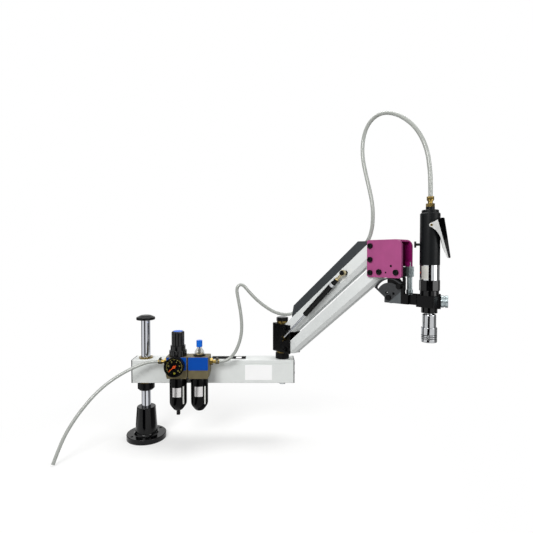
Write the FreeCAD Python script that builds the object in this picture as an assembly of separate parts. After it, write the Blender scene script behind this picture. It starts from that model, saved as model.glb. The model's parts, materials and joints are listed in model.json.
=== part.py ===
"""Bench arm tapping machine: column, beam, air service unit, spring-balanced arm and air tapping tool."""
import FreeCAD, Part
import math
import os

V = FreeCAD.Vector

# Fits and allowances shared by all pieces
running_clearance = 0.05
open_pivot_clearance = 0.3
side_clearance = 0.4
flat_gap = 0.3
overrun = 2
tiny = 1e-6

# Base and column
column_diameter = 30
column_wall = 4
column_top = 390
column_seat = 20
flange_diameter = 127
flange_thickness = 16
flange_edge_radius = 2
bolt_circle_diameter = 104
bolt_hole_diameter = 9
bolt_count = 4
socket_height = 104
socket_top_diameter = 60
socket_root_diameter = 72
socket_root_radius = 7
socket_lip_radius = 2

# Column cap
cap_diameter = 60
cap_height = 15
cap_rim_height = 8
cap_dome_radius = 14
cap_spigot_length = 15

# Beam
beam_width = 60
beam_height = 75
beam_bottom = 188.6
beam_wall = 3
beam_left_reach = 39
elbow_x = 449
beam_right_reach = 38.3
beam_corner_radius = 2
groove_drop = 12.5
groove_width = 2
groove_depth = 1.2
end_plate_thickness = 3
end_screw_head_diameter = 9
end_screw_head_height = 2.6
end_screw_length = 10
end_screw_diameter = 5
end_screw_margin = 18

# Beam pivot on the column
sleeve_diameter = 42
bush_diameter = 36
bush_length = 26
bush_flange_diameter = 44
bush_flange_thickness = 4.5
collar_diameter = 54.5
collar_height = 24
collar_chamfer = 5
collar_slit = 2

# Air service unit, two modules side by side
module_width = 67
module_depth = 52
module_height = 66.5
module_corner_radius = 5
module_foot_height = 12
module_foot_inset = 3.5
module_rise = 22.4
unit_left = 85.5
bracket_thickness = 6
bracket_margin = 10
bracket_height = 38
bracket_drop = 3
face_plate_thickness = 1.5
face_plate_width = 61
face_plate_height = 40
face_plate_corner = 2
bowl_diameter = 54
bowl_length = 104.5
bowl_shoulder = 22
bowl_floor_radius = 12
bowl_round = 14
drain_diameter = 12
drain_length = 15.4
drain_stem_diameter = 6
drain_stem_length = 8
strip_width = 4.5
strip_height = 55
strip_rise = 24
strip_proud = 0.8
strip_side_offset = 19.5
bonnet_diameter = 54.4
bonnet_height = 33
bonnet_shoulder = 18
bonnet_neck_diameter = 47
bonnet_slot_count = 12
bonnet_slot_depth = 1.2
knob_diameter = 40
knob_height = 44
knob_rib_count = 20
knob_rib_depth = 1
knob_top_round = 3
knob_stem_diameter = 14
knob_stem_length = 8
port_drop = 19
hex_across_flats = 19
hex_length = 8.5
barb_neck_diameter = 11
barb_neck_length = 8
ferrule_diameter = 14
ferrule_length = 12
clamp_band_thickness = 1.2
clamp_band_width = 8
clamp_screw_diameter = 6
clamp_screw_length = 12
dome_ring_across_flats = 33
dome_ring_height = 4
dome_diameter = 31
dome_height = 24
dome_round = 8
drip_knob_diameter = 18.8
drip_knob_height = 20
drip_rib_count = 14
drip_rib_depth = 0.7
drip_stem_diameter = 6
drip_stem_length = 6
gauge_side_offset = 3.3
gauge_drop = 25
gauge_diameter = 60
gauge_depth = 20
gauge_rim = 3
gauge_recess = 7
gauge_stem_diameter = 13
gauge_stem_length = 4
gauge_glass_thickness = 1.6
needle_hub_diameter = 6
needle_thickness = 1
needle_length = 24
needle_tail = 8
needle_width = 2.4
needle_tip_width = 0.5
needle_rest_angle = 219
needle_pin_diameter = 2

# Elbow pivot at the beam's far end
shaft_diameter = 20
shaft_thread_diameter = 12
shaft_nut_across_flats = 18
shaft_nut_height = 10
knurl_diameter = 44
knurl_height = 19.4
knurl_rib_count = 32
knurl_rib_depth = 0.8
thrust_ring_diameter = 36
thrust_ring_thickness = 6
elbow_knob_diameter = 38.5
elbow_knob_height = 12.5
elbow_knob_lobe_count = 12
elbow_knob_lobe_depth = 1.6

# Elbow block
block_above_pivot = 10.5
block_width = 48
block_back_reach = 23
block_front_reach = 58.5
block_slot_start = 24.5
block_corner_radius = 5

# Arm linkage, seen from the side with the column to the left
arm_yaw = 50
arm_rise = 38.2
link_length = 413
pivot_spacing = 68.5
pivot_reach = 39.5
lower_pivot_rise = 12
link_width = 36
link_top = 13.7
link_bottom = 24
upper_link_bottom = 26.5
link_flat_bottom = 15.5
link_keel_width = 16
link_wall = 3
link_end_solid = 34
link_corner_radius = 1.5
link_cut_drop = 10
link_cut_radius = 12
link_heel_radius = 6
link_toe_reach = 24
link_toe_drop = 7
link_toe_start = 3
link_toe_radius = 4
arm_travel_angle = 50
pivot_bolt_diameter = 10
pivot_head_diameter = 14
pivot_head_height = 5.5
socket_key_size = 6
socket_key_depth = 3

# Black hose cover on the upper link
cover_width = 35
cover_height = 25.6
cover_wall = 2
cover_foot_reach = 24.9
cover_foot_rise = 40.9
cover_lip_reach = 33
cover_lip_rise = 79
cover_end_inset = 12
cover_tip_inset = 14
cover_head_level = 13.1
cover_tip_level = 6.6

# Gas spring beside the arm
gas_side_offset = 30
gas_lower_reach = 37.3
gas_lower_rise = 35.9
gas_upper_along = 301.2
gas_upper_perp = -3.5
gas_stud_diameter = 8
gas_lower_stud_diameter = 6
gas_stud_head_diameter = 13
gas_stud_head_height = 3
gas_eye_diameter = 16
gas_eye_thickness = 8
gas_open_clearance = 2.4
gas_rod_diameter = 6
gas_tube_diameter = 16
gas_tube_start = 131.7
gas_band_back = 55.05
gas_band_length = 9.5
gas_cap_length = 18
gas_cap_diameter = 13
gas_neck_diameter = 8
gas_rod_inside = 60
gas_bore_length = 110
eye_neck_share = 0.36

# Head casting at the arm's outer end
head_width = 50
head_left_lap = 11
head_length = 100
head_bottom_drop = 11.4
head_height = 95
head_wall = 6
head_corner_radius = 18
head_small_radius = 5
head_end_radius = 8
head_top_opening = 25
head_notch_length = 26
head_notch_height = 28
head_web_length = 17.5
head_lug_length = 12
head_lug_height = 12
head_lug_depth = 8.4
head_hole_diameter = 3.2
head_hole_depth = 4
head_hole_shares = ((0.71, 0.31), (0.562, 0.138))
head_screw_diameter = 6
head_screw_length = 10
middle_screw_drop = 35
low_screw_reach = 27
end_screw_reach = 75
low_screw_rise = 2.6

# Tilt joint under the head
tilt_ahead = 50.4
tilt_drop = 49
tilt_bolt_diameter = 10
tilt_boss_radius = 15
hanger_start_behind = 10
hanger_block_ahead = 23.5
hanger_nose_ahead = 34.5
hanger_nose_back = -3
hanger_block_rise = 1
hanger_block_height = 26
hanger_front = -10
hanger_back = 14
hanger_tongue_back = 4
hanger_plate_back = -2.5
hanger_plate_ahead = 37.5
hanger_plate_rise = 17
hanger_window_shares = ((0.39, 1.025), (0.67, 1.025), (0.67, 0.73))
clamp_radius = 41
clamp_angle = 45
clamp_bolt_diameter = 8
clamp_head_diameter = 13
sector_thickness = 7.7
sector_radius = 48.5
sector_foot = 13.3
sector_left = 13
sector_right = 41
sector_cut_angle = 37
slot_width = 8.6
slot_end_angle = 146
sector_hole_diameter = 7
sector_hole_reach_shares = ((-0.155, 0.22), (0.26, 0.21))
bar_start_ahead = 31.5
bar_end_behind = 22.6
bar_front = -12
bar_back = 24
bar_height = 24
gusset_reach = 22
stop_inset = 2.6
stop_side = 16
stop_hex_across_flats = 20
stop_hex_height = 24.7
stop_shank_diameter = 12.5
stop_foot_diameter = 16
stop_foot_height = 9
stop_thread_diameter = 6
stop_thread_length = 12

# Tool clamp
tool_ahead = 97.1
tool_turn = 28.5
clamp_ring_diameter = 48
clamp_ring_height = 27
clamp_ring_drop = 15.7
clamp_face_side = 24
clamp_face_depth = 19
clamp_face_length = 46
clamp_face_radius = 6
clamp_boss_reach = 24.5
clamp_boss_width = 26
clamp_boss_height = 33
clamp_boss_thickness = 9
clamp_knob_diameter = 28
clamp_knob_length = 15.2
clamp_knob_groove = 1.5
clamp_knob_groove_width = 3
clamp_thread_diameter = 8

# Air tapping tool
tool_diameter = 44.8
tool_body_length = 121
tool_chamfer = 2
tool_step_diameter = 38
tool_step_height = 7
tool_port_diameter = 20
tool_port_height = 7
sleeve_height = 35
sleeve_step = 0.6
tool_collar_diameter = 46
tool_collar_height = 24.5
tool_collar_flat_count = 10
neck_diameter = 42
neck_length = 38.2
nose_diameter = 36
nose_height = 14
nose_flat_count = 12
spindle_diameter = 16
spindle_length = 20
air_hex_across_flats = 17
air_hex_height = 8
air_neck_diameter = 11
air_neck_height = 6
air_ferrule_height = 10
lever_pivot_reach = 3.1
lever_pivot_drop = 29.2
lever_ear_radius = 5
lever_pin_diameter = 4
lever_inner_width = 45.4
lever_cheek_thickness = 2
lever_top_drop = 13.4
lever_tip_drop = 104.5
lever_length = 91.1
lever_shoulder_share = 0.38
lever_reach_shares = (0.328, 0.258, 0.488, 0.419)
lever_inner_shares = ((0.14, 0.31), (0.24, 0.466), (0.303, 0.742))
lever_web_thickness = 3
lever_tip_width = 15
button_drop = 73
button_stem_diameter = 6
button_stem_reach = 30
button_head_diameter = 15
button_head_thickness = 4.5
button_depth = 12
button_travel = 3
chuck_gap = 3.3
chuck_length = 65
chuck_barrel_diameter = 30.8
chuck_core_diameter = 25
chuck_barrel_length = 37
chuck_sleeve_diameter = 35.5
chuck_sleeve_rise = 34
chuck_sleeve_step = 6.5
chuck_travel = 6
chuck_bore_diameter = 19
chuck_bore_depth = 30
chuck_groove_depth = 0.9
chuck_groove_width = 1.6
chuck_groove_drop_shares = (0.5, 0.62, 0.74)

# Hoses
hose_diameter = 10
hose_bend_share = 0.45

# Places worked out from the sizes above
column_radius = column_diameter / 2
beam_top = beam_bottom + beam_height
module_top = beam_top + module_rise
beam_left = -beam_left_reach
beam_right = elbow_x + beam_right_reach
module_bottom = module_top - module_height
bowl_bottom = module_bottom - bowl_length
strip_bottom = bowl_bottom + strip_rise
port_height = module_top - port_drop
unit_back = -beam_width / 2 - bracket_thickness
unit_front = unit_back - module_depth
unit_middle = (unit_back + unit_front) / 2
unit_right = unit_left + 2 * module_width
filter_x = unit_left + module_width / 2
oiler_x = unit_right - module_width / 2
gauge_x = filter_x - gauge_side_offset
gauge_height = module_top - gauge_drop
gauge_back = unit_front - gauge_stem_length
gauge_front = gauge_back - gauge_depth
block_bottom = beam_top + knurl_height + thrust_ring_thickness
lower_pivot_height = block_bottom + lower_pivot_rise
upper_pivot_height = lower_pivot_height + pivot_spacing
block_top = upper_pivot_height + block_above_pivot
gas_lower_height = lower_pivot_height + gas_lower_rise
rise = math.radians(arm_rise)
span = link_length * math.cos(rise)
lift = link_length * math.sin(rise)
head_pivot_reach = pivot_reach + span
head_upper_height = upper_pivot_height + lift
head_lower_height = lower_pivot_height + lift
head_left = head_pivot_reach - head_left_lap
head_right = head_left + head_length
head_bottom = head_lower_height - head_bottom_drop
head_top = head_bottom + head_height
inner_width = link_width + 2 * side_clearance
tilt_reach = head_pivot_reach + tilt_ahead
tilt_height = head_bottom - tilt_drop
hanger_start = tilt_reach - hanger_start_behind
hanger_block_end = tilt_reach + hanger_block_ahead
hanger_nose_end = tilt_reach + hanger_nose_ahead
hanger_plate_end = tilt_reach + hanger_plate_ahead
hanger_block_bottom = head_bottom + hanger_block_rise
hanger_block_top = hanger_block_bottom + hanger_block_height
hanger_plate_bottom = tilt_height + hanger_plate_rise
tool_reach = tilt_reach + tool_ahead
bar_start = tilt_reach + bar_start_ahead
bar_end = tool_reach - bar_end_behind
bar_bottom = tilt_height - sector_foot
bar_top = bar_bottom + bar_height
stop_reach = head_right - stop_inset
clamp_ring_bottom = tilt_height - clamp_ring_drop
clamp_ring_top = clamp_ring_bottom + clamp_ring_height
tool_collar_bottom = clamp_ring_bottom + neck_length
sleeve_bottom = tool_collar_bottom + tool_collar_height
tool_body_bottom = sleeve_bottom + sleeve_height
tool_body_top = tool_body_bottom + tool_body_length
lever_pivot_height = tool_body_top - lever_pivot_drop
lever_top_height = tool_body_top - lever_top_drop
lever_tip_height = tool_body_top - lever_tip_drop
button_height = tool_body_top - button_drop
nose_top = clamp_ring_bottom
nose_bottom = nose_top - nose_height
chuck_top = nose_bottom - chuck_gap
chuck_bottom = chuck_top - chuck_length
chuck_barrel_bottom = chuck_top - chuck_barrel_length
chuck_sleeve_top = chuck_bottom + chuck_sleeve_rise
port_top = tool_body_top + tool_step_height + tool_port_height
air_top = port_top + air_hex_height + air_neck_height + air_ferrule_height


def outline(corners):
    """Closed wire in the XZ plane; a third number rounds that corner with an arc."""
    count = len(corners)
    ends = []
    for index, corner in enumerate(corners):
        here = V(corner[0], 0, corner[1])
        radius = corner[2] if len(corner) > 2 else 0
        if not radius:
            ends.append((here, here, None))
            continue
        last = corners[index - 1]
        following = corners[(index + 1) % count]
        back = V(last[0], 0, last[1]) - here
        ahead = V(following[0], 0, following[1]) - here
        back.normalize()
        ahead.normalize()
        half = back.getAngle(ahead) / 2
        reach = radius / math.tan(half)
        inward = back + ahead
        inward.normalize()
        middle = here + inward * (radius / math.sin(half) - radius)
        ends.append((here + back * reach, here + ahead * reach, middle))
    edges = []
    for index, (start, end, middle) in enumerate(ends):
        if middle is not None:
            edges.append(Part.Arc(start, middle, end).toShape())
        following = ends[(index + 1) % count][0]
        if end.distanceToPoint(following) > tiny:
            edges.append(Part.LineSegment(end, following).toShape())
    return Part.Wire(edges)


def turned(corners, x=0, y=0):
    """Solid of revolution about a vertical axis through (x, y)."""
    solid = Part.Face(outline(corners)).revolve(V(0, 0, 0), V(0, 0, 1), 360)
    return solid.translated(V(x, y, 0))


def slab(corners, front, back):
    """Side outline in XZ, thick from y = front to y = back."""
    face = Part.Face(outline(corners)).translated(V(0, front, 0))
    return face.extrude(V(0, back - front, 0))


def plate(corners, bottom, top):
    """Plan outline in XY, thick from z = bottom to z = top."""
    wire = outline(corners).rotated(V(0, 0, 0), V(1, 0, 0), -90)
    face = Part.Face(wire).translated(V(0, 0, bottom))
    return face.extrude(V(0, 0, top - bottom))


def block(x0, x1, y0, y1, z0, z1):
    """Box between two opposite corners."""
    return Part.makeBox(x1 - x0, y1 - y0, z1 - z0, V(x0, y0, z0))


def post(radius, bottom, top, x=0, y=0):
    """Upright cylinder."""
    return Part.makeCylinder(radius, top - bottom, V(x, y, bottom))


def bar(radius, start, end):
    """Cylinder from one point to another."""
    return Part.makeCylinder(radius, (end - start).Length, start, end - start)


def polygon(count, radius, start_angle=0):
    """Corners of a regular polygon."""
    step = 2 * math.pi / count
    first = math.radians(start_angle)
    return [(radius * math.cos(first + step * i), radius * math.sin(first + step * i)) for i in range(count)]


def hexagon(across_flats, bottom, top, x=0, y=0):
    """Upright hexagonal prism."""
    radius = across_flats / 2 / math.cos(math.pi / 6)
    return plate(polygon(6, radius), bottom, top).translated(V(x, y, 0))


def ribbed(radius, depth, count, bottom, top, x=0, y=0):
    """Upright grip whose side has shallow ribs."""
    corners = []
    for outer, inner in zip(polygon(count, radius), polygon(count, radius - depth, 180 / count)):
        corners += [outer, inner]
    return plate(corners, bottom, top).translated(V(x, y, 0))


def joined(*shapes):
    """One solid from several."""
    return shapes[0].fuse(list(shapes[1:])).removeSplitter()


def side_on(shape, x, y, z):
    """Lay an upright piece along Y, its top towards the viewer, and place it."""
    return shape.rotated(V(0, 0, 0), V(1, 0, 0), 90).translated(V(x, y, z))


def along_x(shape, x, y, z):
    """Lay an upright piece along X and place it."""
    return shape.rotated(V(0, 0, 0), V(0, 1, 0), 90).translated(V(x, y, z))


def on_arm(shape):
    """Move a piece from the arm's own plane to its place beyond the elbow."""
    return shape.rotated(V(0, 0, 0), V(0, 0, 1), -arm_yaw).translated(V(elbow_x, 0, 0))


def on_tool(shape):
    """Turn a piece built about the tool's own axis to the tool's front, and move it to its place on the arm."""
    turned_shape = shape.rotated(V(0, 0, 0), V(0, 0, 1), tool_turn)
    return on_arm(turned_shape.translated(V(tool_reach, 0, 0)))


def arm_point(reach, height, side=0):
    """A point in the arm's own plane, side measured towards the viewer."""
    return V(reach, -side, height)


def on_link(along, perp):
    """A place measured along the upper link and square to it, in the arm's plane."""
    return (pivot_reach + along * math.cos(rise) - perp * math.sin(rise),
            upper_pivot_height + along * math.sin(rise) + perp * math.cos(rise))


def base_casting():
    """Flanged foot with a tapered socket for the column."""
    flange_radius = flange_diameter / 2
    body = turned([
        (0, 0), (flange_radius, 0), (flange_radius, flange_thickness, flange_edge_radius),
        (socket_root_diameter / 2, flange_thickness, socket_root_radius),
        (socket_top_diameter / 2, socket_height, socket_lip_radius), (0, socket_height)])
    body = body.cut(post(column_radius, column_seat, socket_height + overrun))
    for x, y in polygon(bolt_count, bolt_circle_diameter / 2, 45):
        body = body.cut(post(bolt_hole_diameter / 2, -overrun, flange_thickness + overrun, x, y))
    return body


def column_tube():
    """Chromed steel tube standing in the socket."""
    tube = post(column_radius, column_seat, column_top)
    return tube.cut(post(column_radius - column_wall, column_seat - overrun, column_top + overrun))


def column_cap():
    """Domed cap pushed into the column's open top."""
    spigot_radius = column_radius - column_wall
    return turned([
        (0, column_top - cap_spigot_length), (spigot_radius, column_top - cap_spigot_length),
        (spigot_radius, column_top), (cap_diameter / 2, column_top, flange_edge_radius),
        (cap_diameter / 2, column_top + cap_rim_height, flange_edge_radius),
        (cap_diameter / 4, column_top + cap_height, cap_dome_radius), (0, column_top + cap_height)])


def height_collar():
    """Split ring clamped to the column, which carries the beam."""
    top = beam_bottom - bush_flange_thickness
    bottom = top - collar_height
    bore = column_radius + running_clearance
    ring = turned([
        (bore, bottom), (collar_diameter / 2 - collar_chamfer, bottom),
        (collar_diameter / 2, bottom + collar_chamfer), (collar_diameter / 2, top), (bore, top)])
    return ring.cut(block(0, collar_diameter, -collar_slit / 2, collar_slit / 2, bottom - overrun, top + overrun))


def beam_profile():
    """Aluminium box section with a groove along each side."""
    left = beam_left + end_plate_thickness
    right = beam_right - end_plate_thickness
    half = beam_width / 2
    inner = half - beam_wall
    tube = slab([
        (-half, beam_bottom, beam_corner_radius), (half, beam_bottom, beam_corner_radius),
        (half, beam_top, beam_corner_radius), (-half, beam_top, beam_corner_radius)], 0, right - left)
    tube = tube.cut(block(-inner, inner, -overrun, right - left + overrun,
                          beam_bottom + beam_wall, beam_top - beam_wall))
    groove_top = beam_top - groove_drop
    for side in (-1, 1):
        outer = side * (half + overrun)
        floor = side * (half - groove_depth)
        tube = tube.cut(block(min(outer, floor), max(outer, floor), -overrun, right - left + overrun,
                              groove_top - groove_width, groove_top))
    tube = tube.rotated(V(0, 0, 0), V(0, 0, 1), -90).translated(V(left, 0, 0))
    tube = tube.cut(post(sleeve_diameter / 2, beam_bottom - overrun, beam_top + overrun))
    return tube.cut(post(shaft_thread_diameter / 2, beam_bottom - overrun, beam_top + overrun, elbow_x))


def end_plate_places():
    """Heights of the screws in each end plate."""
    return (beam_bottom + end_screw_margin + end_screw_head_diameter, beam_top - end_screw_margin)


def beam_end_plates():
    """Dark plates that close the beam's two ends."""
    half = beam_width / 2
    plates = []
    for left in (beam_left, beam_right - end_plate_thickness):
        plate_solid = slab([
            (-half, beam_bottom, beam_corner_radius), (half, beam_bottom, beam_corner_radius),
            (half, beam_top, beam_corner_radius), (-half, beam_top, beam_corner_radius)],
            0, end_plate_thickness)
        plates.append(plate_solid.rotated(V(0, 0, 0), V(0, 0, 1), -90).translated(V(left, 0, 0)))
    for height in end_plate_places():
        hole = bar(end_screw_diameter / 2, V(beam_left - overrun, 0, height), V(beam_right + overrun, 0, height))
        plates = [piece.cut(hole) for piece in plates]
    return Part.makeCompound(plates)


def end_plate_screws():
    """Button screws, two in each end plate."""
    screws = []
    for height in end_plate_places():
        for face, way in ((beam_left, -1), (beam_right, 1)):
            head = bar(end_screw_head_diameter / 2, V(face, 0, height), V(face + way * end_screw_head_height, 0, height))
            shank = bar(end_screw_diameter / 2, V(face, 0, height), V(face - way * end_screw_length, 0, height))
            screws.append(joined(head, shank))
    return Part.makeCompound(screws)


def column_sleeve():
    """Steel tube through the beam that holds the two bushes."""
    tube = post(sleeve_diameter / 2, beam_bottom, beam_top)
    return tube.cut(post(bush_diameter / 2, beam_bottom - overrun, beam_top + overrun))


def column_bushes():
    """Flanged brass bushes, one in each end of the sleeve."""
    bore = column_radius + running_clearance
    upper = turned([
        (bore, beam_top - bush_length), (bush_diameter / 2, beam_top - bush_length), (bush_diameter / 2, beam_top),
        (bush_flange_diameter / 2, beam_top), (bush_flange_diameter / 2, beam_top + bush_flange_thickness),
        (bore, beam_top + bush_flange_thickness)])
    lower = turned([
        (bore, beam_bottom + bush_length), (bush_diameter / 2, beam_bottom + bush_length),
        (bush_diameter / 2, beam_bottom), (bush_flange_diameter / 2, beam_bottom),
        (bush_flange_diameter / 2, beam_bottom - bush_flange_thickness), (bore, beam_bottom - bush_flange_thickness)])
    return Part.makeCompound([upper, lower])


def elbow_shaft():
    """Shouldered shaft that stands on the beam and threads into the nut below."""
    shoulder = post(shaft_diameter / 2, beam_top, block_top + thrust_ring_thickness - side_clearance, elbow_x)
    thread = post(shaft_thread_diameter / 2, beam_bottom - shaft_nut_height, beam_top + overrun, elbow_x)
    stud_top = block_top + thrust_ring_thickness + elbow_knob_height - overrun
    stud = post(shaft_thread_diameter / 2, block_top, stud_top, elbow_x)
    return joined(shoulder, thread, stud)


def elbow_nut():
    """Lock nut under the beam."""
    nut = hexagon(shaft_nut_across_flats, beam_bottom - shaft_nut_height, beam_bottom, elbow_x)
    return nut.cut(post(shaft_thread_diameter / 2, beam_bottom - shaft_nut_height - overrun, beam_top, elbow_x))


def knurled_collar():
    """Knurled ring nut round the shaft's foot."""
    bottom = beam_top
    nut = ribbed(knurl_diameter / 2, knurl_rib_depth, knurl_rib_count, bottom, bottom + knurl_height, elbow_x)
    return nut.cut(post(shaft_diameter / 2, bottom - overrun, bottom + knurl_height + overrun, elbow_x))


def elbow_thrust_rings():
    """Brass washers below and above the elbow block."""
    rings = []
    for bottom in (block_bottom - thrust_ring_thickness, block_top):
        ring = post(thrust_ring_diameter / 2, bottom, bottom + thrust_ring_thickness, elbow_x)
        bore = shaft_diameter / 2 + running_clearance
        rings.append(ring.cut(post(bore, bottom - overrun, bottom + thrust_ring_thickness + overrun, elbow_x)))
    return Part.makeCompound(rings)


def elbow_knob():
    """Lobed knob that locks the elbow."""
    bottom = block_top + thrust_ring_thickness + flat_gap
    top = bottom + elbow_knob_height
    knob = ribbed(elbow_knob_diameter / 2, elbow_knob_lobe_depth, elbow_knob_lobe_count, bottom, top, elbow_x)
    dome = turned([
        (0, bottom), (elbow_knob_diameter / 2, bottom), (elbow_knob_diameter / 2, top - elbow_knob_lobe_depth),
        (elbow_knob_diameter / 2 - elbow_knob_lobe_depth * 2, top), (0, top)], elbow_x)
    bore_top = top - elbow_knob_lobe_depth
    bore = post(shaft_thread_diameter / 2 + running_clearance, bottom - overrun, bore_top, elbow_x)
    return knob.common(dome).cut(bore)


def module_body(x):
    """Die-cast body of one service module."""
    half = module_width / 2
    foot = half - module_foot_inset
    face = slab([
        (x - half, module_top), (x - half, module_bottom + module_foot_height), (x - foot, module_bottom),
        (x + foot, module_bottom), (x + half, module_bottom + module_foot_height), (x + half, module_top)],
        unit_front, unit_back)
    plan = plate([
        (x - half, unit_front, module_corner_radius), (x + half, unit_front, module_corner_radius),
        (x + half, unit_back, module_corner_radius), (x - half, unit_back, module_corner_radius)],
        module_bottom, module_top)
    return face.common(plan)


def filter_body():
    """Body of the filter and regulator, bored for the knob's stem and the drain's stem."""
    stem_bottom = module_top - knob_stem_length
    bore = post(knob_stem_diameter / 2 + running_clearance, stem_bottom - side_clearance,
                module_top + overrun, filter_x, unit_middle)
    return module_body(filter_x).cut(bore)


def oiler_body():
    """Body of the lubricator."""
    return module_body(oiler_x)


def frl_bracket():
    """Plate that bolts both modules to the beam."""
    top = beam_top - bracket_drop
    return block(unit_left + bracket_margin, unit_right - bracket_margin, unit_back, -beam_width / 2,
                 top - bracket_height, top)


def face_plates():
    """Blue plates on the front of both modules; the left one is bored for the gauge."""
    plates = []
    half = face_plate_width / 2
    for x in (filter_x, oiler_x):
        bottom = module_top - face_plate_height
        piece = slab([
            (x - half, bottom, face_plate_corner), (x + half, bottom, face_plate_corner),
            (x + half, module_top, face_plate_corner), (x - half, module_top, face_plate_corner)],
            unit_front - face_plate_thickness, unit_front)
        plates.append(piece)
    hole = bar(gauge_stem_diameter / 2 + side_clearance, V(gauge_x, unit_front - overrun, gauge_height),
               V(gauge_x, unit_front + overrun, gauge_height))
    plates[0] = plates[0].cut(hole)
    return Part.makeCompound(plates)


def bowl(x):
    """Guard over one bowl, with its tapered floor."""
    radius = bowl_diameter / 2
    return turned([
        (0, bowl_bottom), (bowl_floor_radius, bowl_bottom, bowl_round / 2),
        (radius, bowl_bottom + bowl_shoulder, bowl_round), (radius, module_bottom), (0, module_bottom)],
        x, unit_middle)


def filter_bowl():
    """Bowl of the filter, bored for the drain's stem."""
    bore = post(drain_stem_diameter / 2 + running_clearance, bowl_bottom - overrun,
                bowl_bottom + drain_stem_length + side_clearance, filter_x, unit_middle)
    return bowl(filter_x).cut(bore).cut(strip(filter_x))


def oil_bowl():
    """Bowl of the lubricator."""
    return bowl(oiler_x).cut(strip(oiler_x))


def strip(x):
    """Upright sight window let into a bowl guard."""
    radius = bowl_diameter / 2
    back = unit_middle - math.sqrt(radius ** 2 - strip_side_offset ** 2)
    angle = math.degrees(math.atan2(back - unit_middle, strip_side_offset))
    half = strip_width / 2
    box = block(radius - strip_width, radius + strip_proud, -half, half, strip_bottom, strip_bottom + strip_height)
    return box.rotated(V(0, 0, 0), V(0, 0, 1), angle).translated(V(x, unit_middle, 0))


def sight_strips():
    """Clear windows in both bowl guards."""
    return Part.makeCompound([strip(filter_x), strip(oiler_x)])


def drain_valve():
    """Turn-to-open drain under the filter bowl."""
    nib = ribbed(drain_diameter / 2, drip_rib_depth, drip_rib_count, bowl_bottom - drain_length,
                 bowl_bottom - flat_gap, filter_x, unit_middle)
    stem = post(drain_stem_diameter / 2, bowl_bottom - flat_gap, bowl_bottom + drain_stem_length,
                filter_x, unit_middle)
    return joined(nib, stem)


def regulator_bonnet():
    """Ring nut and spring housing on top of the filter regulator."""
    radius = bonnet_diameter / 2
    ring = ribbed(radius, bonnet_slot_depth, bonnet_slot_count * 2, module_top, module_top + bonnet_shoulder,
                  filter_x, unit_middle)
    neck = turned([
        (0, module_top + bonnet_shoulder), (bonnet_neck_diameter / 2, module_top + bonnet_shoulder),
        (bonnet_neck_diameter / 2, module_top + bonnet_height), (0, module_top + bonnet_height)],
        filter_x, unit_middle)
    bore = post(knob_stem_diameter / 2 + running_clearance, module_top - overrun,
                module_top + bonnet_height + overrun, filter_x, unit_middle)
    return joined(ring, neck).cut(bore)


def regulator_knob():
    """Ribbed pressure knob with its stem."""
    bottom = module_top + bonnet_height + flat_gap
    radius = knob_diameter / 2
    grip = ribbed(radius, knob_rib_depth, knob_rib_count, bottom, bottom + knob_height, filter_x, unit_middle)
    round_top = turned([
        (0, bottom), (radius, bottom), (radius, bottom + knob_height - knob_top_round),
        (radius - knob_top_round, bottom + knob_height), (0, bottom + knob_height)], filter_x, unit_middle)
    stem = post(knob_stem_diameter / 2, module_top - knob_stem_length, bottom + overrun, filter_x, unit_middle)
    return joined(grip.common(round_top), stem)


def dome_ring():
    """Hexagon ring that holds the sight dome."""
    return hexagon(dome_ring_across_flats, module_top, module_top + dome_ring_height, oiler_x, unit_middle)


def sight_dome():
    """Clear drip dome, bored for the drip screw."""
    bottom = module_top + dome_ring_height
    top = bottom + dome_height
    dome = turned([(0, bottom), (dome_diameter / 2, bottom), (dome_diameter / 2, top, dome_round), (0, top)],
                  oiler_x, unit_middle)
    bore = post(drip_stem_diameter / 2 + running_clearance, top - drip_stem_length - side_clearance,
                top + overrun, oiler_x, unit_middle)
    return dome.cut(bore)


def drip_knob():
    """Small blue knob that sets the oil drip."""
    dome_top = module_top + dome_ring_height + dome_height
    bottom = dome_top + flat_gap
    grip = ribbed(drip_knob_diameter / 2, drip_rib_depth, drip_rib_count, bottom, bottom + drip_knob_height,
                  oiler_x, unit_middle)
    stem = post(drip_stem_diameter / 2, dome_top - drip_stem_length, bottom + overrun, oiler_x, unit_middle)
    return joined(grip, stem)


def gauge_case():
    """Round gauge case with its stem, open at the front."""
    radius = gauge_diameter / 2
    stem = post(gauge_stem_diameter / 2, -gauge_stem_length, overrun)
    case = post(radius, 0, gauge_depth)
    case = case.cut(post(radius - gauge_rim, gauge_depth - gauge_recess, gauge_depth + overrun))
    pin = post(needle_pin_diameter / 2, gauge_depth - gauge_recess, gauge_depth - gauge_recess + needle_thickness * 4)
    return side_on(joined(case, stem, pin), gauge_x, gauge_back, gauge_height)


def gauge_glass():
    """Clear disc in the gauge's rim."""
    radius = gauge_diameter / 2 - gauge_rim
    disc = post(radius, gauge_depth - gauge_glass_thickness, gauge_depth)
    return side_on(disc, gauge_x, gauge_back, gauge_height)


def gauge_needle():
    """Pointer turning on the pin in the middle of the dial."""
    bottom = gauge_depth - gauge_recess + needle_thickness
    hub = post(needle_hub_diameter / 2, bottom, bottom + needle_thickness * 2)
    blade = plate([
        (-needle_tail, -needle_width / 2), (needle_length, -needle_tip_width / 2),
        (needle_length, needle_tip_width / 2), (-needle_tail, needle_width / 2)], bottom, bottom + needle_thickness)
    needle = joined(hub, blade).cut(post(needle_pin_diameter / 2 + running_clearance, 0, gauge_depth))
    needle = needle.rotated(V(0, 0, 0), V(0, 0, 1), needle_rest_angle)
    return side_on(needle, gauge_x, gauge_back, gauge_height)


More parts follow.
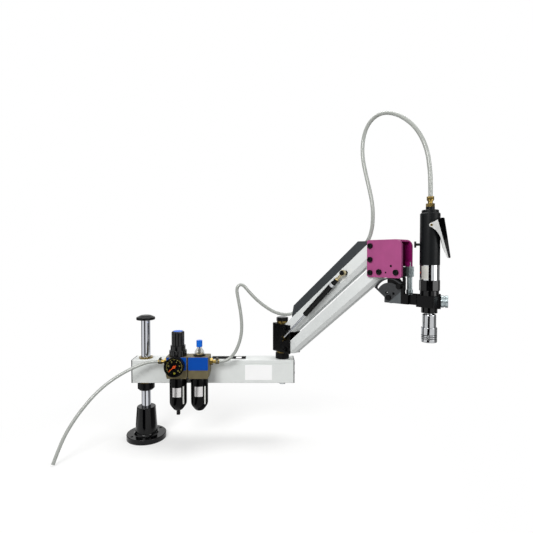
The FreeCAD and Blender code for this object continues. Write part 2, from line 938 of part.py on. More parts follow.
def port_fitting():
    """Brass hose tail with its hexagon, upright, seated at z = 0."""
    neck_top = hex_length + barb_neck_length
    return joined(
        hexagon(hex_across_flats, 0, hex_length), post(barb_neck_diameter / 2, hex_length - tiny, neck_top),
        post(ferrule_diameter / 2, neck_top, neck_top + ferrule_length))


def frl_fittings():
    """Inlet tail on the left and outlet tail on the right."""
    inlet = along_x(port_fitting().rotated(V(0, 0, 0), V(1, 0, 0), 180), unit_left, unit_middle, port_height)
    outlet = along_x(port_fitting(), unit_right, unit_middle, port_height)
    return Part.makeCompound([inlet, outlet])


def hose_clamp(outer_radius, bottom):
    """Band clamp with its tightening screw, upright."""
    top = bottom + clamp_band_width
    band = post(outer_radius + clamp_band_thickness, bottom, top).cut(post(outer_radius, bottom - overrun, top + overrun))
    middle = (bottom + top) / 2
    screw_y = -outer_radius - clamp_screw_diameter / 2
    screw = bar(clamp_screw_diameter / 2, V(-clamp_screw_length / 2, screw_y, middle),
                V(clamp_screw_length / 2, screw_y, middle))
    return joined(band, screw.cut(post(outer_radius, bottom - overrun, top + overrun)))


def hose_clamps():
    """Band clamps on both hose tails."""
    start = hex_length + barb_neck_length + (ferrule_length - clamp_band_width) / 2
    clamp = hose_clamp(ferrule_diameter / 2, start)
    clamp = clamp.rotated(V(0, 0, 0), V(0, 0, 1), -90)
    inlet = along_x(clamp.rotated(V(0, 0, 0), V(1, 0, 0), 180), unit_left, unit_middle, port_height)
    outlet = along_x(clamp, unit_right, unit_middle, port_height)
    return Part.makeCompound([inlet, outlet])


def pivot_places():
    """Both link pivots on the elbow block, in the arm's plane."""
    return ((pivot_reach, lower_pivot_height), (pivot_reach, upper_pivot_height))


def head_pivot_places():
    """Both link pivots in the head, in the arm's plane."""
    return ((head_pivot_reach, head_lower_height), (head_pivot_reach, head_upper_height))


def elbow_block():
    """Forked block that turns on the shaft and holds both link pivots."""
    half = block_width / 2
    solid = plate([
        (-block_back_reach, -half, block_corner_radius), (block_front_reach, -half), (block_front_reach, half),
        (-block_back_reach, half, block_corner_radius)], block_bottom, block_top)
    solid = solid.cut(block(block_slot_start, block_front_reach + overrun, -inner_width / 2, inner_width / 2,
                            block_bottom - overrun, block_top + overrun))
    bore = shaft_diameter / 2 + running_clearance
    solid = solid.cut(post(bore, block_bottom - overrun, block_top + overrun))
    for reach, height in pivot_places():
        solid = solid.cut(bar(pivot_bolt_diameter / 2, V(reach, -half - overrun, height), V(reach, half + overrun, height)))
    stud = gas_lower_stud_diameter / 2
    place = arm_point(gas_lower_reach, gas_lower_height, half)
    solid = solid.cut(bar(stud, place, arm_point(gas_lower_reach, gas_lower_height, inner_width / 2)))
    return on_arm(solid)


def cross_bolt(reach, height, outer):
    """Bolt across the arm with a socket head at each end."""
    face = outer / 2
    shank = bar(pivot_bolt_diameter / 2, V(reach, -face, height), V(reach, face, height))
    near = bar(pivot_head_diameter / 2, V(reach, -face - pivot_head_height, height), V(reach, -face, height))
    far = bar(pivot_head_diameter / 2, V(reach, face, height), V(reach, face + pivot_head_height, height))
    key = side_on(hexagon(socket_key_size, 0, socket_key_depth + overrun), reach,
                  -face - pivot_head_height + socket_key_depth, height)
    return joined(shank, near, far).cut(key)


def elbow_pivot_bolts():
    """Bolts the lower ends of both links turn on."""
    return on_arm(Part.makeCompound([cross_bolt(x, z, block_width) for x, z in pivot_places()]))


def gas_stud(reach, height, root, diameter):
    """Stud for one eye of the gas spring, with its head."""
    head_start = gas_side_offset + gas_eye_thickness / 2 + flat_gap
    stem = bar(diameter / 2, arm_point(reach, height, root), arm_point(reach, height, head_start))
    head = bar(gas_stud_head_diameter / 2, arm_point(reach, height, head_start),
               arm_point(reach, height, head_start + gas_stud_head_height))
    return joined(stem, head)


def gas_lower_stud():
    """Stud on the elbow block."""
    return on_arm(gas_stud(gas_lower_reach, gas_lower_height, inner_width / 2 + side_clearance,
                           gas_lower_stud_diameter))


def gas_upper_stud():
    """Stud and spacer on the upper link."""
    reach, height = on_link(gas_upper_along, gas_upper_perp)
    root = link_width / 2
    stud = gas_stud(reach, height, root, gas_stud_diameter)
    spacer = bar(gas_stud_head_diameter / 2, arm_point(reach, height, root),
                 arm_point(reach, height, gas_side_offset - gas_eye_thickness / 2 - flat_gap))
    return on_arm(joined(stud, spacer))


def link(pivot_height, head_clearance, link_bottom):
    """Hollow link with a keel-shaped lower half, in the arm's plane."""
    half = link_width / 2
    keel = link_keel_width / 2
    section = [
        (-half, link_top, link_corner_radius), (-half, -link_flat_bottom), (-keel, -link_bottom, link_corner_radius),
        (keel, -link_bottom, link_corner_radius), (half, -link_flat_bottom), (half, link_top, link_corner_radius)]
    solid = slab(section, -link_length, link_length * 2)
    wall = link_wall
    hollow = slab([
        (-half + wall, link_top - wall), (-half + wall, -link_flat_bottom + wall / 2),
        (-keel + wall / 2, -link_bottom + wall), (keel - wall / 2, -link_bottom + wall),
        (half - wall, -link_flat_bottom + wall / 2), (half - wall, link_top - wall)],
        link_end_solid, link_length - link_end_solid)
    solid = solid.cut(hollow).rotated(V(0, 0, 0), V(0, 0, 1), -90)
    solid = solid.rotated(V(0, 0, 0), V(0, 1, 0), -arm_rise)
    run = 1 / math.cos(rise)
    slope = math.tan(rise)
    top_at = lambda x: x * slope + link_top * run
    bottom_at = lambda x: x * slope - link_bottom * run
    heel = (link_bottom * run - link_cut_drop) / slope
    toe = span + link_toe_reach
    side = slab([
        (-link_top, top_at(-link_top), link_cut_radius),
        (-link_top, -link_cut_drop, link_heel_radius), (heel, -link_cut_drop, link_cut_radius),
        (toe, bottom_at(toe), link_toe_radius), (toe, lift - link_toe_drop),
        (span + link_top, lift - link_toe_start), (span + link_top, top_at(span + link_top), link_top)],
        -link_width, link_width)
    solid = solid.common(side)
    lower_bore = pivot_bolt_diameter / 2 + running_clearance
    solid = solid.cut(bar(lower_bore, V(0, -link_width, 0), V(0, link_width, 0)))
    upper_bore = pivot_bolt_diameter / 2 + head_clearance
    solid = solid.cut(bar(upper_bore, V(span, -link_width, lift), V(span, link_width, lift)))
    return solid.translated(V(pivot_reach, 0, pivot_height))


def lower_link():
    """Link that carries the head."""
    return on_arm(link(lower_pivot_height, running_clearance, link_bottom))


def upper_link():
    """Link that keeps the head level."""
    return on_arm(link(upper_pivot_height, open_pivot_clearance, upper_link_bottom))


def hose_cover():
    """Black channel over the upper link, which hides the hose."""
    half = cover_width / 2
    inner = half - cover_wall
    bottom = link_top
    top = link_top + cover_height
    channel = slab([
        (-half, bottom), (-half, top, link_corner_radius), (half, top, link_corner_radius), (half, bottom),
        (inner, bottom), (inner, top - cover_wall), (-inner, top - cover_wall), (-inner, bottom)],
        -link_length, link_length * 2)
    channel = channel.rotated(V(0, 0, 0), V(0, 0, 1), -90).rotated(V(0, 0, 0), V(0, 1, 0), -arm_rise)
    side = slab([
        (cover_foot_reach, cover_foot_rise - cover_height), (cover_foot_reach, cover_foot_rise),
        (cover_lip_reach, cover_lip_rise), (cover_lip_reach, lift + cover_head_level),
        (span - cover_end_inset, lift + cover_head_level), (span - cover_tip_inset, lift + cover_tip_level),
        (span - cover_tip_inset, lift - cover_height)],
        -cover_width, cover_width)
    return on_arm(channel.common(side).translated(V(pivot_reach, 0, upper_pivot_height)))


def gas_place(distance):
    """A point on the gas spring's axis, measured from its lower eye."""
    start = V(gas_lower_reach, -gas_side_offset, gas_lower_height)
    upper_reach, upper_height = on_link(gas_upper_along, gas_upper_perp)
    end = V(upper_reach, -gas_side_offset, upper_height)
    way = end - start
    way.normalize()
    return start + way * distance


def gas_length():
    """Distance between the gas spring's two eyes at rest."""
    upper_reach, upper_height = on_link(gas_upper_along, gas_upper_perp)
    return math.hypot(upper_reach - gas_lower_reach, upper_height - gas_lower_height)


def gas_eye(distance, bore):
    """One flat eye of the gas spring and its bore."""
    half = V(0, gas_eye_thickness / 2, 0)
    centre = gas_place(distance)
    disc = bar(gas_eye_diameter / 2, centre - half, centre + half)
    return disc, bar(bore, centre - half * 2, centre + half * 2)


def gas_rod():
    """Polished rod with the lower eye."""
    disc, bore = gas_eye(0, gas_lower_stud_diameter / 2 + gas_open_clearance)
    rod = bar(gas_rod_diameter / 2, gas_place(gas_eye_diameter * eye_neck_share),
              gas_place(gas_tube_start + gas_rod_inside))
    return on_arm(joined(disc, rod).cut(bore))


def gas_cylinder():
    """Gas spring tube with its band, end cap and upper eye."""
    length = gas_length()
    band_start = length - gas_band_back
    cap_start = band_start + gas_band_length
    neck_start = cap_start + gas_cap_length
    disc, stud_bore = gas_eye(length, gas_stud_diameter / 2 + running_clearance)
    tube = bar(gas_tube_diameter / 2, gas_place(gas_tube_start), gas_place(cap_start))
    cap = bar(gas_cap_diameter / 2, gas_place(cap_start), gas_place(neck_start))
    neck = bar(gas_neck_diameter / 2, gas_place(neck_start), gas_place(length - gas_eye_diameter * eye_neck_share))
    rod_bore = bar(gas_rod_diameter / 2 + running_clearance, gas_place(gas_tube_start - overrun),
                   gas_place(gas_tube_start + gas_bore_length))
    return on_arm(joined(tube, cap, neck, disc).cut(rod_bore).cut(stud_bore))


def head_screw_places():
    """Short screws in the head's near side, in the arm's plane."""
    low = head_lower_height + low_screw_rise
    return ((head_pivot_reach, head_upper_height - middle_screw_drop),
            (head_pivot_reach + low_screw_reach, low), (head_pivot_reach + end_screw_reach, low))


def head_casting():
    """Painted housing, open below and towards the links."""
    half = head_width / 2
    solid = slab([
        (head_left, head_bottom, head_small_radius), (head_right, head_bottom, head_end_radius),
        (head_right, head_top, head_corner_radius), (head_left, head_top, head_small_radius)], -half, half)
    cheek = inner_width / 2
    solid = solid.cut(block(head_left - overrun, head_right + overrun, -cheek, cheek,
                            head_bottom - overrun, head_top - head_wall))
    web = block(hanger_start, hanger_start + head_web_length, -cheek - overrun, cheek + overrun,
                hanger_block_top, head_top - head_wall + overrun)
    notch_top = head_bottom + head_notch_height
    lug = block(head_right - head_lug_length, head_right, cheek - head_lug_depth, cheek + overrun,
                notch_top, notch_top + head_lug_height)
    solid = joined(solid, web, lug)
    solid = solid.cut(block(head_left - overrun, head_left + head_top_opening, -cheek, cheek,
                            head_bottom, head_top + overrun))
    solid = solid.cut(block(head_right - head_notch_length, head_right + overrun, cheek - overrun, half + overrun,
                            head_bottom - overrun, notch_top))
    for along, up in head_hole_shares:
        reach = head_left + along * head_length
        height = head_bottom + up * head_height
        solid = solid.cut(bar(head_hole_diameter / 2, V(reach, -half - overrun, height),
                              V(reach, -half + head_hole_depth, height)))
    for reach, height in head_pivot_places():
        solid = solid.cut(bar(pivot_bolt_diameter / 2, V(reach, -half - overrun, height), V(reach, half + overrun, height)))
    for reach, height in head_screw_places():
        solid = solid.cut(bar(head_screw_diameter / 2, V(reach, -half - overrun, height), V(reach, -cheek + overrun, height)))
    solid = solid.cut(post(stop_thread_diameter / 2, notch_top - overrun, notch_top + stop_thread_length,
                           stop_reach, stop_side))
    return on_arm(solid)


def short_screw(reach, height):
    """Socket screw let into the head's near side."""
    face = -head_width / 2
    depth = (head_width - inner_width) / 2
    if reach > hanger_block_end:
        depth = head_screw_length
    head = bar(pivot_head_diameter / 2, V(reach, face - pivot_head_height, height), V(reach, face, height))
    shank = bar(head_screw_diameter / 2, V(reach, face, height), V(reach, face + depth, height))
    key = side_on(hexagon(socket_key_size, 0, socket_key_depth + overrun), reach,
                  face - pivot_head_height + socket_key_depth, height)
    return joined(head, shank).cut(key)


def head_bolts():
    """Link pivots and side screws of the head."""
    pivots = [cross_bolt(reach, height, head_width) for reach, height in head_pivot_places()]
    screws = [short_screw(reach, height) for reach, height in head_screw_places()]
    return on_arm(Part.makeCompound(pivots + screws))


def clamp_place():
    """The tilt clamp bolt, in the arm's plane."""
    angle = math.radians(clamp_angle)
    return (tilt_reach + clamp_radius * math.cos(angle), tilt_height + clamp_radius * math.sin(angle))


def tilt_hanger():
    """Steel piece between the head's cheeks that holds the tilt pivot."""
    cheek = inner_width / 2
    upper = block(hanger_start, hanger_block_end, -cheek, cheek, hanger_block_bottom, hanger_block_top)
    nose = block(hanger_block_end - overrun, hanger_nose_end, -cheek, hanger_nose_back,
                 hanger_block_bottom, hanger_block_top)
    tongue = block(hanger_start, tilt_reach + tilt_boss_radius, hanger_front, hanger_tongue_back,
                   tilt_height, hanger_block_bottom + overrun)
    boss = bar(tilt_boss_radius, V(tilt_reach, hanger_front, tilt_height), V(tilt_reach, hanger_back, tilt_height))
    wing = slab([
        (tilt_reach, hanger_plate_bottom), (hanger_plate_end, hanger_plate_bottom, head_small_radius),
        (hanger_plate_end, hanger_block_bottom), (hanger_nose_end, hanger_block_bottom + overrun),
        (tilt_reach, hanger_block_bottom + overrun)], hanger_front, hanger_plate_back)
    window = slab([(tilt_reach + along * sector_radius, tilt_height + up * sector_radius)
                   for along, up in hanger_window_shares], hanger_front - overrun, hanger_plate_back + overrun)
    solid = joined(upper, nose, tongue, boss, wing.cut(window))
    solid = solid.cut(bar(tilt_bolt_diameter / 2, V(tilt_reach, hanger_front - overrun, tilt_height),
                          V(tilt_reach, hanger_back + overrun, tilt_height)))
    reach, height = clamp_place()
    solid = solid.cut(bar(clamp_bolt_diameter / 2, V(reach, hanger_front - overrun, height),
                          V(reach, hanger_plate_back + overrun, height)))
    screw_reach, screw_height = head_screw_places()[2]
    return on_arm(solid.cut(bar(head_screw_diameter / 2, V(screw_reach, -head_width / 2, screw_height),
                                V(screw_reach, -head_width / 2 + head_screw_length, screw_height))))


def sector_front():
    """Front face of the sector plate."""
    return hanger_front - flat_gap - sector_thickness


def tilt_bolts():
    """Pivot bolt of the tilt joint and the clamp bolt in the slot."""
    face = sector_front() - flat_gap
    reach, height = clamp_place()
    pivot = joined(
        bar(tilt_bolt_diameter / 2, V(tilt_reach, face, tilt_height), V(tilt_reach, hanger_back, tilt_height)),
        bar(clamp_head_diameter / 2, V(tilt_reach, face - pivot_head_height, tilt_height), V(tilt_reach, face, tilt_height)))
    clamp = joined(
        bar(clamp_bolt_diameter / 2, V(reach, face, height), V(reach, hanger_plate_back, height)),
        bar(clamp_head_diameter / 2, V(reach, face - pivot_head_height, height), V(reach, face, height)))
    return on_arm(Part.makeCompound([pivot, clamp]))


def stop_screw():
    """Grey jack screw between the head and the bar, which sets the tool upright."""
    top = head_bottom + head_notch_height
    hex_bottom = top - stop_hex_height
    foot_bottom = bar_top + flat_gap
    screw = joined(
        hexagon(stop_hex_across_flats, hex_bottom, top),
        post(stop_shank_diameter / 2, foot_bottom, hex_bottom + overrun),
        post(stop_foot_diameter / 2, foot_bottom, foot_bottom + stop_foot_height),
        post(stop_thread_diameter / 2 - running_clearance, top - overrun, top + stop_thread_length - side_clearance))
    return on_arm(screw.translated(V(stop_reach, stop_side, 0)))


def arc_slot(front, back):
    """Curved slot about the tilt pivot."""
    outer = clamp_radius + slot_width / 2
    inner = clamp_radius - slot_width / 2
    ring = bar(outer, V(0, front, 0), V(0, back, 0)).cut(bar(inner, V(0, front, 0), V(0, back, 0)))
    middle = (clamp_angle + slot_end_angle) / 2
    far = clamp_radius * 2
    wedge = slab([(0, 0)] + [
        (far * math.cos(math.radians(angle)), far * math.sin(math.radians(angle)))
        for angle in (clamp_angle, middle, slot_end_angle)], front, back)
    slot = ring.common(wedge)
    for angle in (clamp_angle, slot_end_angle):
        x = clamp_radius * math.cos(math.radians(angle))
        z = clamp_radius * math.sin(math.radians(angle))
        slot = slot.fuse(bar(slot_width / 2, V(x, front, z), V(x, back, z)))
    return slot


def sector_bracket():
    """Slotted sector plate with the bar that carries the tool."""
    front = sector_front()
    back = front + sector_thickness
    far = sector_radius * 2
    disc = bar(sector_radius, V(0, front, 0), V(0, back, 0))
    cut = math.radians(sector_cut_angle)
    trim = slab([
        (-sector_left, -sector_foot), (-sector_left, 0),
        (-sector_left - far * math.cos(cut), far * math.sin(cut)),
        (-far, far), (sector_right, far), (sector_right, -sector_foot)], front, back)
    plate_solid = disc.common(trim)
    foot = block(0, bar_end - tilt_reach - gusset_reach, front, back, -sector_foot, bar_height - sector_foot)
    beam_bar = block(bar_start - tilt_reach, bar_end - tilt_reach, bar_front, bar_back,
                     -sector_foot, bar_height - sector_foot)
    solid = joined(plate_solid, foot, beam_bar)
    solid = solid.cut(arc_slot(front - overrun, back + overrun))
    solid = solid.cut(bar(tilt_bolt_diameter / 2 + running_clearance, V(0, front - overrun, 0), V(0, back + overrun, 0)))
    for across, up in sector_hole_reach_shares:
        x = across * sector_radius
        z = up * sector_radius
        solid = solid.cut(bar(sector_hole_diameter / 2, V(x, front - overrun, z), V(x, back + overrun, z)))
    return on_arm(solid.translated(V(tilt_reach, 0, tilt_height)))


def tool_clamp():
    """Ring that grips the tool's neck, with a flat near side and the boss for its screw."""
    radius = clamp_ring_diameter / 2
    middle = (clamp_ring_bottom + clamp_ring_top) / 2
    root_end = -bar_end_behind
    ring = post(radius, clamp_ring_bottom, clamp_ring_top)
    root = block(root_end, 0, bar_front, bar_back, clamp_ring_bottom, clamp_ring_top)
    face_end = root_end + clamp_face_length
    face_back = clamp_face_depth - clamp_face_side
    face = plate([
        (root_end, -clamp_face_side, clamp_face_radius), (face_end, -clamp_face_side, clamp_face_radius / 2),
        (face_end, face_back), (root_end, face_back)], clamp_ring_bottom, clamp_ring_top)
    boss = block(clamp_boss_reach - clamp_boss_thickness, clamp_boss_reach, -clamp_boss_width / 2, clamp_boss_width / 2,
                 middle - clamp_boss_height / 2, middle + clamp_boss_height / 2)
    web = block(0, clamp_boss_reach - clamp_boss_thickness + overrun, -clamp_boss_width / 2, clamp_boss_width / 2,
                clamp_ring_bottom, clamp_ring_top)
    turned_boss = joined(boss, web).rotated(V(0, 0, 0), V(0, 0, 1), tool_turn)
    solid = joined(ring, root, face, turned_boss)
    solid = solid.cut(block(-clamp_ring_diameter, root_end, -clamp_ring_diameter, clamp_ring_diameter,
                            clamp_ring_bottom, clamp_ring_top))
    solid = solid.cut(post(neck_diameter / 2, clamp_ring_bottom - clamp_boss_height, clamp_ring_top + clamp_boss_height))
    thread = bar(clamp_thread_diameter / 2 + running_clearance, V(0, 0, middle), V(clamp_boss_reach + overrun, 0, middle))
    thread = thread.rotated(V(0, 0, 0), V(0, 0, 1), tool_turn)
    return on_arm(solid.cut(thread).translated(V(tool_reach, 0, 0)))


def clamp_screw():
    """Grey thumbscrew that presses on the tool's neck."""
    middle = (clamp_ring_bottom + clamp_ring_top) / 2
    start = clamp_boss_reach + flat_gap
    end = start + clamp_knob_length
    radius = clamp_knob_diameter / 2
    knob = bar(radius, V(start, 0, middle), V(end, 0, middle))
    centre = (start + end) / 2
    half = clamp_knob_groove_width / 2
    groove = bar(radius + overrun, V(centre - half, 0, middle), V(centre + half, 0, middle))
    knob = knob.cut(groove.cut(bar(radius - clamp_knob_groove, V(centre - half, 0, middle), V(centre + half, 0, middle))))
    thread = bar(clamp_thread_diameter / 2, V(neck_diameter / 2 + flat_gap, 0, middle), V(start + overrun, 0, middle))
    return on_tool(joined(knob, thread))


def button_bore():
    """Axis of the reverse button, from the tool's middle to its head."""
    return V(-tool_diameter / 2 + button_depth, 0, button_height)


def tool_body():
    """Black handle with its stepped air port and the lever's pin."""
    radius = tool_diameter / 2
    step_top = tool_body_top + tool_step_height
    body = turned([
        (0, tool_body_bottom), (radius, tool_body_bottom), (radius, tool_body_top - tool_chamfer),
        (radius - tool_chamfer, tool_body_top), (tool_step_diameter / 2, tool_body_top),
        (tool_step_diameter / 2, step_top, flange_edge_radius), (tool_port_diameter / 2, step_top),
        (tool_port_diameter / 2, port_top), (0, port_top)])
    pin_half = lever_inner_width / 2 + lever_cheek_thickness + flat_gap
    pin = bar(lever_pin_diameter / 2, V(lever_pivot_reach, -pin_half, lever_pivot_height),
              V(lever_pivot_reach, pin_half, lever_pivot_height))
    solid = joined(body, pin)
    solid = solid.cut(bar(button_stem_diameter / 2 + running_clearance, button_bore(), V(-radius - overrun, 0, button_height)))
    return on_tool(solid)


def exhaust_sleeve():
    """Bright sleeve round the air motor."""
    sleeve = post(tool_diameter / 2 - sleeve_step, sleeve_bottom, tool_body_bottom)
    return on_tool(sleeve)


def tool_collar():
    """Black ring nut with wide flats."""
    collar = plate(polygon(tool_collar_flat_count, tool_collar_diameter / 2), tool_collar_bottom, sleeve_bottom)
    return on_tool(collar)


def gear_nose():
    """Neck that the clamp grips, and the nose nut below it, bored for the spindle."""
    neck = post(neck_diameter / 2, nose_top, tool_collar_bottom)
    nut = plate(polygon(nose_flat_count, nose_diameter / 2), nose_bottom, nose_top)
    bore = post(spindle_diameter / 2 + running_clearance, nose_bottom - overrun, nose_bottom + spindle_length)
    return on_tool(joined(neck, nut).cut(bore))


def air_fitting():
    """Brass inlet fitting with the hose ferrule and its clamp."""
    neck_bottom = port_top + air_hex_height
    ferrule_bottom = neck_bottom + air_neck_height
    fitting = joined(
        hexagon(air_hex_across_flats, port_top, neck_bottom),
        post(air_neck_diameter / 2, neck_bottom - tiny, ferrule_bottom),
        post(ferrule_diameter / 2, ferrule_bottom, air_top))
    clamp = hose_clamp(ferrule_diameter / 2, air_top - clamp_band_width)
    return on_tool(Part.makeCompound([fitting, clamp]))


def lever_front(half, tip_half):
    """Space between the lever's sides, which draws in towards the tip."""
    shoulder = lever_top_height - lever_length * lever_shoulder_share
    across = lever_length
    return along_x(plate([
        (-lever_top_height - overrun, -half), (-shoulder, -half), (-lever_tip_height, -tip_half),
        (-lever_tip_height + overrun, -tip_half), (-lever_tip_height + overrun, tip_half),
        (-lever_tip_height, tip_half), (-shoulder, half), (-lever_top_height - overrun, half)], -across, across), 0, 0, 0)


def lever():
    """Throttle lever: a folded steel channel straddling the handle."""
    outer_half = lever_inner_width / 2 + lever_cheek_thickness
    top_out, top_in, tip_out, tip_in = (share * lever_length for share in lever_reach_shares)
    inner_edge = [(along * lever_length, lever_top_height - down * lever_length) for along, down in lever_inner_shares]
    edge_low_to_high = [(tip_in, lever_tip_height)] + list(reversed(inner_edge))
    ear = bar(lever_ear_radius, V(lever_pivot_reach, -outer_half, lever_pivot_height),
              V(lever_pivot_reach, outer_half, lever_pivot_height))
    side = slab([
        (lever_pivot_reach, lever_pivot_height + lever_ear_radius), (top_in, lever_top_height),
        (top_out, lever_top_height, lever_cheek_thickness), (tip_out, lever_tip_height, lever_cheek_thickness)]
        + edge_low_to_high + [(lever_pivot_reach, lever_pivot_height - lever_ear_radius)], -outer_half, outer_half)
    solid = joined(ear, side).common(lever_front(outer_half, lever_tip_width / 2))
    web = lever_web_thickness
    slope = (tip_out - top_out) / lever_length
    inside = slab([
        (-lever_length, lever_tip_height - overrun), (-lever_length, lever_top_height + overrun),
        (top_out - web - slope * overrun, lever_top_height + overrun),
        (tip_out - web + slope * overrun, lever_tip_height - overrun)], -outer_half, outer_half)
    solid = solid.cut(inside.common(lever_front(lever_inner_width / 2, lever_tip_width / 2 - lever_cheek_thickness)))
    bore = lever_pin_diameter / 2 + running_clearance
    solid = solid.cut(bar(bore, V(lever_pivot_reach, -outer_half - overrun, lever_pivot_height),
                          V(lever_pivot_reach, outer_half + overrun, lever_pivot_height)))
    return on_tool(solid)


def reverse_button():
    """Mushroom button that reverses the spindle."""
    back = button_bore() + V(-button_travel - flat_gap, 0, 0)
    neck = V(-button_stem_reach, 0, button_height)
    head = V(-button_stem_reach - button_head_thickness, 0, button_height)
    button = joined(bar(button_stem_diameter / 2, back, neck), bar(button_head_diameter / 2, neck, head))
    return on_tool(button)


def chuck_body():
    """Quick-change chuck with the spindle shank above and the adapter bore below."""
    core = chuck_core_diameter / 2
    barrel = chuck_barrel_diameter / 2
    body = turned([
        (0, chuck_bottom), (core, chuck_bottom), (core, chuck_barrel_bottom), (barrel, chuck_barrel_bottom),
        (barrel, chuck_top, flange_edge_radius), (spindle_diameter / 2, chuck_top),
        (spindle_diameter / 2, nose_bottom + spindle_length - side_clearance),
        (0, nose_bottom + spindle_length - side_clearance)])
    body = body.cut(post(chuck_bore_diameter / 2, chuck_bottom - overrun, chuck_bottom + chuck_bore_depth))
    return on_tool(body)


def chuck_sleeve():
    """Release sleeve that slides up over the chuck's barrel."""
    outer = chuck_sleeve_diameter / 2
    inner = chuck_core_diameter / 2 + running_clearance
    pocket = chuck_barrel_diameter / 2 + flat_gap
    step = chuck_sleeve_top - chuck_sleeve_step - chuck_travel
    height = chuck_sleeve_top - chuck_bottom
    sleeve = turned([
        (inner, chuck_bottom), (outer - flange_edge_radius / 2, chuck_bottom),
        (outer, chuck_bottom + flange_edge_radius / 2), (outer, chuck_sleeve_top), (pocket, chuck_sleeve_top),
        (pocket, step), (inner, step)])
    for share in chuck_groove_drop_shares:
        middle = chuck_sleeve_top - height * share
        low = middle - chuck_groove_width / 2
        ring = post(outer + overrun, low, low + chuck_groove_width)
        sleeve = sleeve.cut(ring.cut(post(outer - chuck_groove_depth, low, low + chuck_groove_width)))
    return on_tool(sleeve)


# Hoses' routes, chosen by eye along the photographed curves
inlet_route = (
    (57, -62, 267), (32, -62, 267), (3, -67, 258.5), (-28, -75.5, 246), (-55, -84, 232), (-82, -94, 215),
    (-106, -105, 196),
    (-126, -116, 176), (-143, -128, 155), (-161, -140, 130), (-176, -153, 105), (-191, -167, 74),
    (-203, -181, 37), (-211, -194, 5))
middle_route = (
    (248, -62, 267), (269, -62, 267), (295, -60.5, 288.5), (312, -59, 325), (320, -58, 366), (317, -57, 412),
    (309, -56, 458), (301, -55, 499), (319, -54, 513), (341, -53, 487), (363, -52, 463), (391, -51, 440),
    (419, -49, 422), (443, -45, 414), (464, -40.5, 412), (482.55, -39.99, 415.74), (492.71, -52.09, 428))
top_shape = (
    (-193.6, -115), (-173.6, -99.48), (-161.6, -69), (-158.6, -37), (-160.6, -2), (-170.6, 38), (-183.6, 83),
    (-193.6, 125), (-193.6, 168), (-180.6, 205), (-151.6, 227), (-113.6, 225), (-71.6, 202), (-33.6, 163),
    (-9.6, 113), (-1.6, 63), (0, 28), (0, 0))
top_route = tuple((tool_reach + along, 0, air_top + up) for along, up in top_shape)
cover_route = ((68.24, 0, 428.18), (top_route[0][0] - 0.24, 0, top_route[0][2] - 0.18))


def hose(name, route):
    """Tube along straight runs joined by arcs as large as the runs allow."""
    points = [V(*point) for point in route]
    radius = hose_diameter / 2
    edges = []
    radii = []
    here = points[0]
    for index in range(1, len(points) - 1):
        corner = points[index]
        back = points[index - 1] - corner
        ahead = points[index + 1] - corner
        reach = min(back.Length, ahead.Length) * hose_bend_share
        back.normalize()
        ahead.normalize()
        half_turn = (math.pi - back.getAngle(ahead)) / 2
        bend = reach / math.tan(half_turn)
        inward = back + ahead
        inward.normalize()
        start = corner + back * reach
        end = corner + ahead * reach
        middle = corner + inward * (bend / math.cos(half_turn) - bend)
        edges.append(Part.LineSegment(here, start).toShape())
        edges.append(Part.Arc(start, middle, end).toShape())
        radii.append(bend)
        here = end
    edges.append(Part.LineSegment(here, points[-1]).toShape())
    path = Part.Wire(edges)
    first = points[1] - points[0]
    ring = Part.Wire(Part.Circle(points[0], first, radius).toShape())
    tube = path.makePipeShell([ring], True, False)
    expected = math.pi * radius ** 2 * path.Length
    print(name, "length", round(path.Length, 1), "volume ratio", round(tube.Volume / expected, 4),
          "radii", [round(value, 1) for value in radii])
    return tube


def inlet_hose():
    """Hose from the workshop supply, lying to a bare end on the bench."""
    return hose("inlet_hose", inlet_route)


def middle_hose():
    """Hose looping from the lubricator to the cover's lower mouth."""
    return hose("middle_hose", middle_route)


def cover_hose():
    """Hose inside the cover."""
    return on_arm(hose("cover_hose", cover_route))


def top_hose():
    """Hose looping from the cover's upper mouth to the tool."""
    return on_arm(hose("top_hose", top_route))


def together(*shapes):
    """Separate solids in one group."""
    return Part.makeCompound([solid for shape in shapes for solid in shape.Solids])


